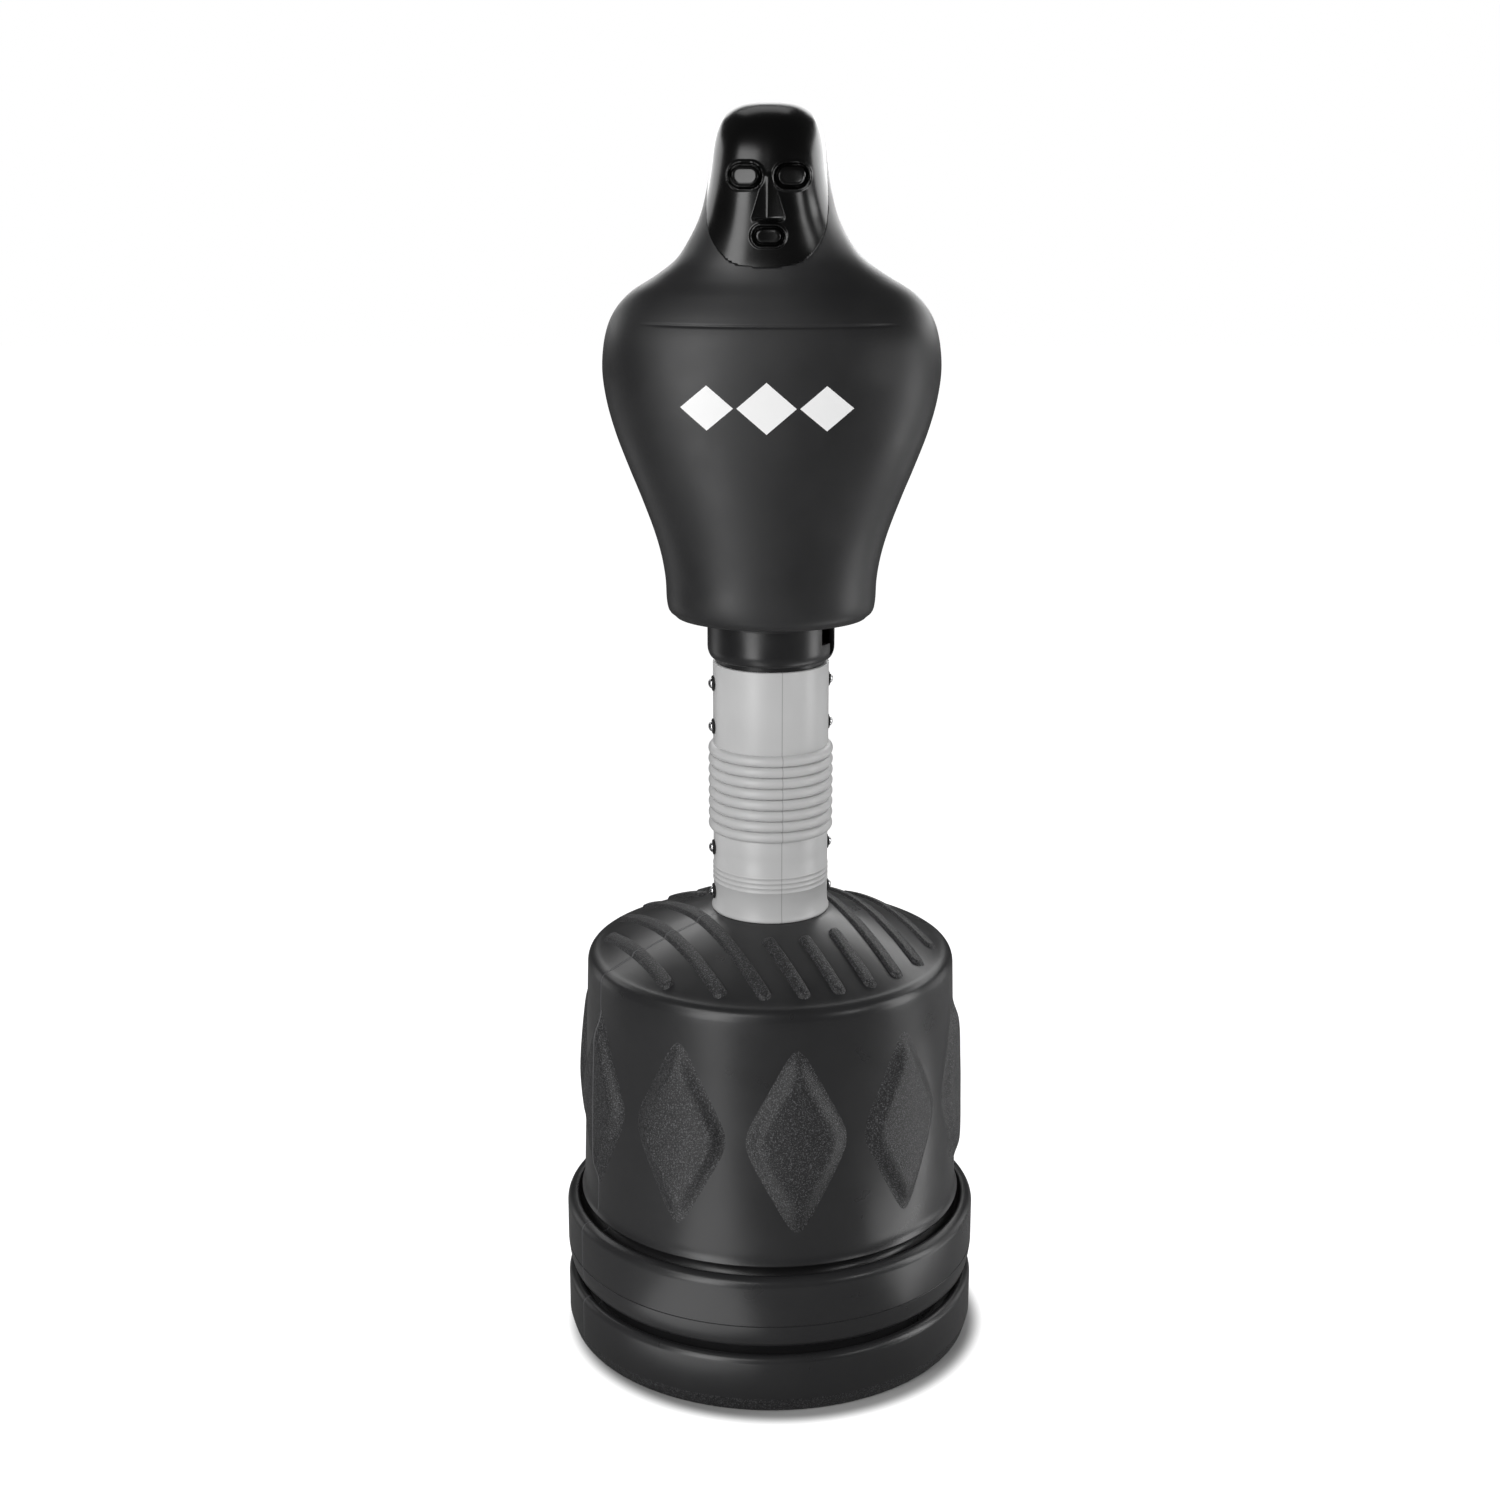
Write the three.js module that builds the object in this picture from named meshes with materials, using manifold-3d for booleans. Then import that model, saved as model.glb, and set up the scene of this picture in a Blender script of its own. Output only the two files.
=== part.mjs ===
// Free-standing body opponent: a padded head and torso on a sprung column, over a tank for water or sand.
// Millimetres, +Z up. The origin is the middle of the tank's underside, on the floor, and the front faces -Y.
import * as THREE from "three";
import { mergeVertices } from "three/addons/utils/BufferGeometryUtils.js";
import Module from "manifold-3d";

const wasm = await Module();
wasm.setup();

// ---- Driving dimensions ----
const gap = 0.3; // air between pieces that touch
const fineSides = 40; // sides of the tank
const roundSides = 24; // sides of the column's parts
const smallSides = 8; // sides of the screws and washers

const tank = {
  radius: 275, // both rings at the foot
  wallFoot: 251, // radius of the drum just above the rings
  wallTop: 242, // radius of the drum below its shoulder
  shoulderZ: 508,
  topZ: 590, // where the column stands
  skin: 6, // moulded wall
  wellRadius: 61, // socket for the column's foot plug
  wellFloorZ: 470,
  yaw: -64.5, // azimuth of the mould's seam, degrees from the front towards +X
};
const rings = {
  soleRadius: 268, // flat of the underside
  soleBevel: 2,
  taperZ: 18, // where the foot's taper reaches the full radius
  lowerTopZ: 80,
  lowerRound: 12,
  neckRadius: 258, // groove between the two rings
  neckZ: [82, 88],
  upperEdgeRadius: 268,
  upperEdgeZ: 97,
  partingZ: 121.8,
  upperTopZ: 190,
  upperRound: 18,
  grooveRadius: 243, // groove between the upper ring and the drum
  grooveZ: 196,
  grooveLip: 4,
  drumZ: 206,
};
const dome = { edgeRadius: 241, edgeZ: 531, rimRadius: 224, rimZ: 536, bendRadius: 160, bendZ: 570 };
const lozenge = { count: 10, width: 134, height: 252, centreZ: 362, border: 21, rise: 8 };
const rib = { pitch: 46, shift: -6, width: 17.5, rise: 7, draft: 3, innerRadius: 108, outerRadius: 216 };
const filler = { x: -40, y: 159, bossRadius: 33, bossFootZ: 545, bossZ: 577, boreRadius: 21 };
const gasket = { thickness: 2.5 };
const cap = { radius: 29, slack: 0.6, plugDepth: 17, rim: 6, height: 8, bevel: 3, grip: 9, sides: 20 };
const sleeve = { radius: 74.5, wall: 3.5, footRadius: 77, topZ: 921, yaw: 10.7 };
const bellows = { crests: 8, pitch: 14.4, crestRadius: 80.5, middleZ: 755.5 };
const screw = { heights: [614, 674, 837, 894], shankRadius: 3.6, headRadius: 6.3, headRise: 5, length: 22 };
const washer = { radius: 9.3, thickness: 1.6 };
const spring = { radius: 44, wire: 10, turns: 5 };
const post = { radius: 81.3, wall: 6.3, plugRadius: 70.5, plugWall: 7, floor: 9, collarZ: 927, topZ: 1200 };
const postCap = { depth: 12, brim: 4, slack: 0.6 };
const footPlug = { seat: 8, web: 8, mouth: 10 }; // spring seat, floor, and the taper round its mouth
const ladder = {
  bayAngle: -32.5, // lifting channel, degrees from +X
  notchAngle: -17.2, // locking notches beside it
  bayWidth: 17,
  floorZ: 951, // lowest sill of the channel
  windowHeight: 28.5,
  notchDrop: 16,
  pitch: 50,
  levels: 5,
};
const key = { radius: 6.5, level: 1, headRadius: 10, headDepth: 4, sides: 12 };
const socket = { inner: 82.4, outer: 86, lid: 4, bottomZ: 996, topZ: 1262 };
const bush = { inner: 81.7, outer: 85.2, bottomZ: 980 }; // clear of the foam's flats as it turns
const body = { skin: 6, rows: 18, sides: 24, neck: [1360, 1440], lean: 8 };
const chinSeam = { tilt: 58, front: [-96, 1418] }; // degrees, then y and z under the chin
const nose = { width: 28, profile: [[-86, 1524], [-118, 1485], [-106, 1474], [-86, 1472]] }; // y and z

// Half-width, half-depth and height of the head and torso, from the foot of the torso to the crown.
const bodySections = [
  [108, 90, 978],
  [129, 108, 987],
  [133, 112, 1010],
  [148, 117, 1092],
  [179, 124, 1173],
  [205, 131, 1253],
  [210, 133, 1293],
  [203, 128, 1341],
  [178, 113, 1380],
  [134, 96, 1409],
  [105, 88, 1438],
  [84, 90, 1476],
  [74, 93, 1514],
  [69, 91, 1552],
  [63, 80, 1580],
  [48, 58, 1599],
  [20, 26, 1609],
];

// ---- Finishes ----
function finish(color, roughness, metalness = 0) {
  return new THREE.MeshStandardMaterial({ color, roughness, metalness });
}
const tankPlastic = finish(0x2a2a2b, 0.5);
const blackPlastic = finish(0x1f1f20, 0.35);
const greyPlastic = finish(0xc8c8c8, 0.45);
const mattVinyl = finish(0x1c1c1d, 0.6);
const glossVinyl = finish(0x0c0c0d, 0.2);
const foam = finish(0xd8cfa8, 0.95);
const softRubber = finish(0x151515, 0.8);
const polishedSteel = finish(0xd0d0d2, 0.2, 1);
const springSteel = finish(0x54565a, 0.4, 1);

// ---- Solids ----
function rad(degrees) {
  return THREE.MathUtils.degToRad(degrees);
}

function flipIfInsideOut(position, index) {
  let volume = 0;
  const a = new THREE.Vector3();
  const b = new THREE.Vector3();
  const c = new THREE.Vector3();
  for (let i = 0; i < index.length; i += 3) {
    a.fromArray(position, 3 * index[i]);
    b.fromArray(position, 3 * index[i + 1]);
    c.fromArray(position, 3 * index[i + 2]);
    volume += a.dot(b.cross(c));
  }
  if (volume < 0) index.reverse();
  return index;
}

// A closed three.js geometry as a solid, with its doubled vertices and empty triangles removed.
function solidFrom(geometry, matrix = new THREE.Matrix4()) {
  const bare = geometry.clone();
  bare.deleteAttribute("normal");
  bare.deleteAttribute("uv");
  bare.applyMatrix4(matrix);
  const merged = mergeVertices(bare, 1e-3);
  const position = merged.attributes.position.array;
  const index = [];
  for (let i = 0; i < merged.index.count; i += 3) {
    const corners = [0, 1, 2].map((k) => merged.index.getX(i + k));
    if (new Set(corners).size === 3) index.push(...corners);
  }
  const triVerts = new Uint32Array(flipIfInsideOut(position, index));
  const vertProperties = new Float32Array(position);
  return new wasm.Manifold(new wasm.Mesh({ numProp: 3, vertProperties, triVerts }));
}

// Turns an outline of radius and height about +Z.
function turned(outline, sides) {
  const points = outline.map((p) => (p.isVector2 ? p : new THREE.Vector2(p[0], p[1])));
  return solidFrom(new THREE.LatheGeometry(points, sides), new THREE.Matrix4().makeRotationX(Math.PI / 2));
}

function ring(inner, outer, bottom, top, sides = roundSides) {
  return turned([[inner, bottom], [outer, bottom], [outer, top], [inner, top], [inner, bottom]], sides);
}

function disc(radius, bottom, top, sides = roundSides) {
  return turned([[0, bottom], [radius, bottom], [radius, top], [0, top]], sides);
}

function block(width, depth, height, matrix) {
  return solidFrom(new THREE.BoxGeometry(width, depth, height), matrix);
}

// A placement that stands local +Z on a radial direction at a height.
function radialPlace(angle, height) {
  const turn = new THREE.Matrix4().makeRotationZ(rad(angle));
  const lift = new THREE.Matrix4().makeTranslation(0, 0, height);
  const lay = new THREE.Matrix4().makeRotationY(Math.PI / 2);
  return turn.multiply(lift).multiply(lay);
}

function placed(solid, matrix) {
  return solid.transform(matrix.elements.slice());
}

// A raised pad on a curved surface, with sloped sides. Its outline is a row of sections along u, each of them
// { u, v } with v as its half-width, and place(u, v, h) gives the point that is h above the surface.
function raisedPad(foot, crown, place, rise, sink) {
  const levels = [[foot, -sink], [foot, 0], [crown, rise]];
  const points = levels.flatMap(([sections, h]) => (
    sections.flatMap(({ u, v }) => [place(u, -v, h), place(u, v, h)])
  ));
  const last = foot.length - 1;
  const at = (level, i, side) => 2 * (level * foot.length + i) + side;
  const index = [];
  const quad = (p, q, r, t) => index.push(p, q, r, p, r, t);
  for (let i = 0; i < last; i += 1) {
    quad(at(2, i, 0), at(2, i + 1, 0), at(2, i + 1, 1), at(2, i, 1));
    quad(at(0, i, 0), at(0, i, 1), at(0, i + 1, 1), at(0, i + 1, 0));
    for (let level = 0; level < 2; level += 1) {
      quad(at(level, i, 0), at(level, i + 1, 0), at(level + 1, i + 1, 0), at(level + 1, i, 0));
      quad(at(level, i, 1), at(level + 1, i, 1), at(level + 1, i + 1, 1), at(level, i + 1, 1));
    }
  }
  for (let level = 0; level < 2; level += 1) {
    quad(at(level, last, 0), at(level, last, 1), at(level + 1, last, 1), at(level + 1, last, 0));
    quad(at(level, 0, 0), at(level + 1, 0, 0), at(level + 1, 0, 1), at(level, 0, 1));
  }
  const geometry = new THREE.BufferGeometry();
  geometry.setAttribute("position", new THREE.Float32BufferAttribute(points.flatMap((p) => p.toArray()), 3));
  geometry.setIndex(index);
  return solidFrom(geometry);
}

const model = new THREE.Group();

function addPiece(name, solid, material) {
  const { vertProperties, triVerts, numProp } = solid.getMesh();
  if (numProp !== 3) throw new Error(`${name}: unexpected vertex data`);
  const geometry = new THREE.BufferGeometry();
  geometry.setAttribute("position", new THREE.Float32BufferAttribute(vertProperties, 3));
  geometry.setIndex(Array.from(triVerts));
  geometry.computeVertexNormals();
  const mesh = new THREE.Mesh(geometry, material);
  mesh.name = name;
  model.add(mesh);
}

// ---- Tank ----
function wallRadius(z) {
  const share = (z - rings.drumZ) / (tank.shoulderZ - rings.drumZ);
  return THREE.MathUtils.lerp(tank.wallFoot, tank.wallTop, share);
}

const domeCurve = new THREE.QuadraticBezierCurve(
  new THREE.Vector2(dome.rimRadius, dome.rimZ),
  new THREE.Vector2(dome.bendRadius, dome.bendZ),
  new THREE.Vector2(sleeve.footRadius, tank.topZ - gap),
);

function domeHeight(radius) {
  let best = domeCurve.getPoint(0);
  for (let i = 1; i <= 60; i += 1) {
    const point = domeCurve.getPoint(i / 60);
    if (Math.abs(point.x - radius) < Math.abs(best.x - radius)) best = point;
  }
  return best.y;
}

function tankOutline() {
  const path = new THREE.Path();
  path.moveTo(0, 0);
  path.lineTo(rings.soleRadius, 0);
  path.lineTo(rings.soleRadius + rings.soleBevel, rings.soleBevel);
  path.lineTo(tank.radius, rings.taperZ);
  const lowerZ = rings.lowerTopZ - rings.lowerRound;
  path.lineTo(tank.radius, lowerZ);
  path.absarc(tank.radius - rings.lowerRound, lowerZ, rings.lowerRound, 0, rad(80), false);
  path.lineTo(rings.neckRadius, rings.neckZ[0]);
  path.lineTo(rings.neckRadius, rings.neckZ[1]);
  path.lineTo(rings.upperEdgeRadius, rings.upperEdgeZ);
  path.lineTo(tank.radius, rings.partingZ);
  const upperZ = rings.upperTopZ - rings.upperRound;
  path.lineTo(tank.radius, upperZ);
  path.absarc(tank.radius - rings.upperRound, upperZ, rings.upperRound, 0, rad(90), false);
  path.lineTo(rings.grooveRadius + rings.grooveLip, rings.upperTopZ);
  path.lineTo(rings.grooveRadius, rings.grooveZ);
  path.lineTo(tank.wallFoot, rings.drumZ);
  path.lineTo(tank.wallTop, tank.shoulderZ);
  path.quadraticCurveTo(dome.edgeRadius, dome.edgeZ, dome.rimRadius, dome.rimZ);
  const points = path.getPoints(3);
  points.push(...domeCurve.getPoints(4).slice(1));
  points.push(new THREE.Vector2(tank.wellRadius, tank.topZ - gap));
  points.push(new THREE.Vector2(tank.wellRadius, tank.wellFloorZ));
  points.push(new THREE.Vector2(0, tank.wellFloorZ));
  return points;
}

// The cavity follows the outside, about one wall thickness in.
function cavityOutline() {
  const t = tank.skin;
  return [
    [0, t],
    [tank.radius - 2 * t, t],
    [tank.radius - t, rings.lowerTopZ - rings.lowerRound - t],
    [rings.neckRadius - t, rings.lowerTopZ - 1],
    [rings.neckRadius - t, rings.neckZ[1] + 3],
    [tank.radius - t, rings.partingZ - 4],
    [tank.radius - t, rings.upperTopZ - rings.upperRound - 2],
    [rings.grooveRadius - t, rings.upperTopZ - t],
    [tank.wallFoot - t, rings.drumZ + t],
    [tank.wallTop - t, tank.shoulderZ - 2],
    [dome.rimRadius - 8, dome.rimZ - 7],
    [tank.wellRadius + t, tank.topZ - t],
    [tank.wellRadius + t, tank.wellFloorZ - t],
    [0, tank.wellFloorZ - t],
  ];
}

// A lozenge drawn in from its edges by a border, in four strips so that it can follow the drum's curve.
function lozengeSections(border) {
  const w = lozenge.width / 2;
  const h = lozenge.height / 2;
  const slant = Math.hypot(w, h);
  const halfWidth = w - (border * slant) / h;
  const halfHeight = h - (border * slant) / w;
  const shares = [-1, -0.5, 0, 0.5, 1];
  return shares.map((share) => ({ u: share * halfWidth, v: (1 - Math.abs(share)) * halfHeight }));
}

function lozengePad(azimuth) {
  const place = (u, v, h) => {
    const z = lozenge.centreZ + v;
    const radius = wallRadius(z) + h;
    const angle = rad(azimuth) + u / wallRadius(lozenge.centreZ);
    return new THREE.Vector3(radius * Math.sin(angle), -radius * Math.cos(angle), z);
  };
  return raisedPad(lozengeSections(0), lozengeSections(lozenge.border), place, lozenge.rise, 4);
}

// A straight bar with rounded ends, from one distance along its line to another.
function barSections(from, to, halfWidth) {
  const steps = Math.ceil((to - from) / 60);
  const middle = [];
  for (let i = 0; i <= steps; i += 1) {
    middle.push({ u: THREE.MathUtils.lerp(from, to, i / steps), v: halfWidth });
  }
  const tip = { u: halfWidth * 0.8, v: halfWidth * 0.45 };
  return [{ u: from - tip.u, v: tip.v }, ...middle, { u: to + tip.u, v: tip.v }];
}

// The ribs on the dome run square to the mould's seam. Each is measured along its line from the foot of the
// perpendicular from the axis, and the filler boss takes the place of one of them.
function ribSpans() {
  const spans = [];
  for (let step = -4; step <= 4; step += 1) {
    const offset = rib.shift + rib.pitch * step;
    const reach = Math.sqrt(rib.outerRadius ** 2 - offset ** 2) - rib.width / 2;
    if (Math.abs(offset) > sleeve.footRadius) {
      spans.push({ offset, from: -reach, to: reach });
      continue;
    }
    const start = Math.sqrt(rib.innerRadius ** 2 - offset ** 2) + rib.width / 2;
    spans.push({ offset, from: start, to: reach });
    if (step !== 1) spans.push({ offset, from: -reach, to: -start });
  }
  return spans;
}

function ribPad({ offset, from, to }) {
  const along = rad(tank.yaw);
  const place = (u, v, h) => {
    const x = u * Math.cos(along) - (offset + v) * Math.sin(along);
    const y = u * Math.sin(along) + (offset + v) * Math.cos(along);
    return new THREE.Vector3(x, y, domeHeight(Math.hypot(x, y)) + h);
  };
  const half = rib.width / 2;
  return raisedPad(barSections(from, to, half), barSections(from, to, half - rib.draft), place, rib.rise, 4);
}

function addTank() {
  let shell = turned(tankOutline(), fineSides);
  for (let i = 0; i < lozenge.count; i += 1) {
    shell = shell.add(lozengePad(tank.yaw + (360 / lozenge.count) * i));
  }
  ribSpans().forEach((span) => {
    shell = shell.add(ribPad(span));
  });
  const toFiller = new THREE.Matrix4().makeTranslation(filler.x, filler.y, 0);
  shell = shell.add(placed(disc(filler.bossRadius, filler.bossFootZ, filler.bossZ, cap.sides), toFiller));
  shell = shell.subtract(turned(cavityOutline(), roundSides));
  const boreFoot = filler.bossFootZ - 25;
  shell = shell.subtract(placed(disc(filler.boreRadius, boreFoot, filler.bossZ + 5, cap.sides), toFiller));
  addPiece("base_tank", shell, tankPlastic);
}

function addFillerCap() {
  const at = new THREE.Matrix4().makeTranslation(filler.x, filler.y, filler.bossZ);
  const seal = ring(filler.boreRadius + 1, cap.radius - 2, gap, gap + gasket.thickness, cap.sides);
  addPiece("cap_gasket", placed(seal, at), softRubber);
  const underside = gap + gasket.thickness + gap;
  const top = underside + cap.height;
  const lid = turned([
    [0, -cap.plugDepth],
    [filler.boreRadius - cap.slack, -cap.plugDepth],
    [filler.boreRadius - cap.slack, underside],
    [cap.radius, underside],
    [cap.radius, underside + cap.rim],
    [cap.radius - cap.bevel, top],
    [0, top],
  ], cap.sides);
  const gripLift = new THREE.Matrix4().makeTranslation(0, 0, top - 0.5 + cap.grip / 2);
  const grip = block(2 * (cap.radius - 2 * cap.bevel), cap.grip, cap.grip, gripLift);
  addPiece("fill_cap", placed(lid.add(grip), at), blackPlastic);
}

// ---- Column ----
function screwAngles() {
  return [sleeve.yaw, sleeve.yaw + 180];
}

function screwHoles(heights, radius) {
  let holes = null;
  heights.forEach((height) => {
    screwAngles().forEach((angle) => {
      const hole = placed(disc(radius, 50, 90, smallSides), radialPlace(angle, height));
      holes = holes ? holes.add(hole) : hole;
    });
  });
  return holes;
}

function addFootPlug() {
  const inner = post.plugRadius - post.plugWall;
  const throat = inner - footPlug.mouth;
  const seatRadius = spring.radius - spring.wire;
  const foot = turned([
    [0, tank.wellFloorZ + gap],
    [tank.wellRadius - gap, tank.wellFloorZ + gap],
    [tank.wellRadius - gap, tank.topZ + 1],
    [post.plugRadius, tank.topZ + 1],
    [post.plugRadius, bellowsBottom()],
    [seatRadius, bellowsBottom()],
    [seatRadius, bellowsBottom() - footPlug.seat],
    [inner, bellowsBottom() - footPlug.seat],
    [inner, tank.topZ + footPlug.mouth],
    [throat, tank.topZ],
    [throat, tank.wellFloorZ + footPlug.web],
    [0, tank.wellFloorZ + footPlug.web],
  ], roundSides);
  const holes = screwHoles(screw.heights.slice(0, 2), screw.shankRadius + gap);
  addPiece("foot_plug", foot.subtract(holes), blackPlastic);
}

function bellowsBottom() {
  return bellows.middleZ - (bellows.crests / 2) * bellows.pitch;
}

function bellowsTop() {
  return bellows.middleZ + (bellows.crests / 2) * bellows.pitch;
}

function addSleeve(name, bottom, top, footRadius, heights) {
  const tube = turned([
    [sleeve.radius - sleeve.wall, bottom],
    [footRadius, bottom],
    [sleeve.radius, bottom + 8],
    [sleeve.radius, top],
    [sleeve.radius - sleeve.wall, top],
    [sleeve.radius - sleeve.wall, bottom],
  ], roundSides);
  addPiece(name, tube.subtract(screwHoles(heights, screw.shankRadius + gap)), greyPlastic);
}

function addBellows(name, bottom) {
  const outline = [];
  const half = bellows.crests / 2;
  for (let i = 0; i < half; i += 1) {
    outline.push([sleeve.radius, bottom + i * bellows.pitch]);
    outline.push([bellows.crestRadius, bottom + (i + 0.5) * bellows.pitch]);
  }
  const end = bottom + half * bellows.pitch - gap;
  outline.push([sleeve.radius, end]);
  const inside = outline.map(([radius, z]) => [radius - sleeve.wall, z]).reverse();
  addPiece(name, turned([...outline, ...inside, outline[0]], roundSides), greyPlastic);
}

class Helix extends THREE.Curve {
  getPoint(t, target = new THREE.Vector3()) {
    const low = bellowsBottom() + spring.wire / 2 + 2 * gap;
    const high = bellowsTop() - spring.wire / 2 - 2 * gap;
    const angle = 2 * Math.PI * spring.turns * t;
    const height = low + (high - low) * t;
    return target.set(spring.radius * Math.cos(angle), spring.radius * Math.sin(angle), height);
  }
}

function addSpring() {
  const section = new THREE.Shape().absarc(0, 0, spring.wire / 2, 0, 2 * Math.PI, false);
  const geometry = new THREE.ExtrudeGeometry(section, {
    steps: 10 * spring.turns,
    curveSegments: 3,
    extrudePath: new Helix(),
  });
  addPiece("core_spring", solidFrom(geometry), springSteel);
}

function ladderCuts() {
  const depth = 40;
  const columnTop = ladder.floorZ + (ladder.levels - 1) * ladder.pitch + ladder.windowHeight;
  const cut = (angle, width, low, high) => {
    const turn = new THREE.Matrix4().makeRotationZ(rad(angle));
    const move = new THREE.Matrix4().makeTranslation(post.radius, 0, (low + high) / 2);
    return block(depth, width, high - low, turn.multiply(move));
  };
  let cuts = cut(ladder.bayAngle, ladder.bayWidth, ladder.floorZ, columnTop);
  for (let i = 0; i < ladder.levels; i += 1) {
    const sill = ladder.floorZ + i * ladder.pitch;
    const lintel = sill + ladder.windowHeight;
    cuts = cuts.add(cut((ladder.bayAngle + ladder.notchAngle) / 2, ladder.bayWidth, sill, lintel));
    cuts = cuts.add(cut(ladder.notchAngle, ladder.bayWidth, sill - ladder.notchDrop, lintel));
  }
  return cuts;
}

function addPost() {
  const plugInner = post.plugRadius - post.plugWall;
  const inner = post.radius - post.wall;
  const tube = turned([
    [0, bellowsTop() + gap],
    [post.plugRadius, bellowsTop() + gap],
    [post.plugRadius, post.collarZ],
    [post.radius - 7, post.collarZ],
    [post.radius - 2, post.collarZ + 4],
    [post.radius, post.collarZ + 12],
    [post.radius, post.topZ],
    [inner, post.topZ],
    [inner, post.collarZ + 10],
    [plugInner, post.collarZ],
    [plugInner, bellowsTop() + post.floor],
    [0, bellowsTop() + post.floor],
  ], roundSides);
  const holes = screwHoles(screw.heights.slice(2), screw.shankRadius + gap);
  addPiece("adjuster_post", tube.subtract(holes).subtract(ladderCuts()), blackPlastic);
  const lid = turned([
    [0, post.topZ - postCap.depth],
    [inner - postCap.slack, post.topZ - postCap.depth],
    [inner - postCap.slack, post.topZ + gap],
    [post.radius - 1, post.topZ + gap],
    [post.radius - 2, post.topZ + postCap.brim],
    [0, post.topZ + postCap.brim],
  ], roundSides);
  addPiece("post_cap", lid, blackPlastic);
}

function addFasteners() {
  const seat = sleeve.radius + gap;
  const headSeat = seat + washer.thickness + gap;
  let number = 0;
  screw.heights.forEach((height) => {
    screwAngles().forEach((angle) => {
      number += 1;
      const flat = ring(screw.shankRadius + gap, washer.radius, seat, seat + washer.thickness, smallSides);
      addPiece(`screw_washer_${number}`, placed(flat, radialPlace(angle, height)), softRubber);
      const bolt = turned([
        [0, headSeat - screw.length],
        [screw.shankRadius, headSeat - screw.length],
        [screw.shankRadius, headSeat],
        [screw.headRadius, headSeat],
        [screw.headRadius * 0.85, headSeat + screw.headRise * 0.62],
        [0, headSeat + screw.headRise],
      ], smallSides);
      addPiece(`sleeve_screw_${number}`, placed(bolt, radialPlace(angle, height)), polishedSteel);
    });
  });
}

// ---- Head and torso ----
const bodyPoints = bodySections.map((row) => new THREE.Vector3(...row));
const bodyCurve = new THREE.CatmullRomCurve3(bodyPoints, false, "centripetal");

function headLean(z) {
  return -body.lean * THREE.MathUtils.smoothstep(z, ...body.neck);
}

// The whole head and torso as one form, taken in by an inset for the inside of the skin.
function bodyForm(inset) {
  const form = new THREE.CylinderGeometry(1, 1, 1, body.sides, body.rows);
  const place = form.attributes.position;
  const low = bodySections[0][2];
  const high = bodySections[bodySections.length - 1][2];
  for (let i = 0; i < place.count; i += 1) {
    const section = bodyCurve.getPointAt(place.getY(i) + 0.5);
    const z = THREE.MathUtils.mapLinear(section.z, low, high, low + inset, high - inset);
    const x = place.getX(i) * (section.x - inset);
    const y = -place.getZ(i) * (section.y - inset) + headLean(z);
    place.setXYZ(i, x, y, z);
  }
  return solidFrom(form);
}

// Everything in front of the tilted seam that runs from under the chin to the crown.
function headSide(lift) {
  const [y, z] = chinSeam.front;
  const move = new THREE.Matrix4().makeTranslation(0, y, z);
  const tilt = new THREE.Matrix4().makeRotationX(rad(chinSeam.tilt));
  const up = new THREE.Matrix4().makeTranslation(0, 100, 200 + lift);
  return block(600, 600, 400, move.multiply(tilt).multiply(up));
}

function noseWedge() {
  const profile = new THREE.Shape(nose.profile.map(([y, z]) => new THREE.Vector2(y, z)));
  const geometry = new THREE.ExtrudeGeometry(profile, { depth: nose.width, bevelEnabled: false });
  geometry.translate(0, 0, -nose.width / 2);
  const stand = new THREE.Matrix4().makeBasis(
    new THREE.Vector3(0, 1, 0),
    new THREE.Vector3(0, 0, 1),
    new THREE.Vector3(1, 0, 0),
  );
  return solidFrom(geometry, stand);
}

function addTorso() {
  const bore = disc(socket.outer + gap, 900, socket.topZ + gap);
  const inside = bodyForm(body.skin);
  const skin = bodyForm(0).add(noseWedge()).subtract(inside).subtract(bore);
  addPiece("torso_skin", skin.subtract(headSide(-gap / 2)), mattVinyl);
  addPiece("head_skin", skin.intersect(headSide(gap / 2)), glossVinyl);

  const keyZ = ladder.floorZ + 0.5 + key.radius + key.level * ladder.pitch;
  const keyPlace = radialPlace(ladder.bayAngle, keyZ);
  const pocket = placed(disc(key.headRadius + 1, 60, socket.outer + key.headDepth + 2, key.sides), keyPlace);
  addPiece("foam_core", bodyForm(body.skin + 0.6).subtract(bore).subtract(pocket), foam);

  const tube = turned([
    [socket.inner, socket.bottomZ],
    [socket.outer, socket.bottomZ],
    [socket.outer, socket.topZ],
    [0, socket.topZ],
    [0, socket.topZ - socket.lid],
    [socket.inner, socket.topZ - socket.lid],
    [socket.inner, socket.bottomZ],
  ], roundSides);
  const keyHole = placed(disc(key.radius + gap, 60, 100, key.sides), keyPlace);
  addPiece("socket_tube", tube.subtract(keyHole), blackPlastic);

  const keyTip = post.radius - post.wall - 1;
  const peg = turned([
    [0, keyTip],
    [key.radius, keyTip],
    [key.radius, socket.outer + gap],
    [key.headRadius, socket.outer + gap],
    [key.headRadius, socket.outer + key.headDepth],
    [0, socket.outer + key.headDepth],
  ], key.sides);
  addPiece("locking_key", placed(peg, keyPlace), polishedSteel);
  addPiece("glide_bush", ring(bush.inner, bush.outer, bush.bottomZ, socket.bottomZ - gap), greyPlastic);
}

addTank();
addFillerCap();
addFootPlug();
addSleeve("sleeve_lower", tank.topZ, bellowsBottom() - gap, sleeve.footRadius, screw.heights.slice(0, 2));
addBellows("bellows_lower", bellowsBottom());
addBellows("bellows_upper", bellows.middleZ);
addSleeve("sleeve_upper", bellowsTop(), sleeve.topZ, sleeve.radius, screw.heights.slice(2));
addSpring();
addPost();
addFasteners();
addTorso();

export default model;
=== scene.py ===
import math

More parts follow.
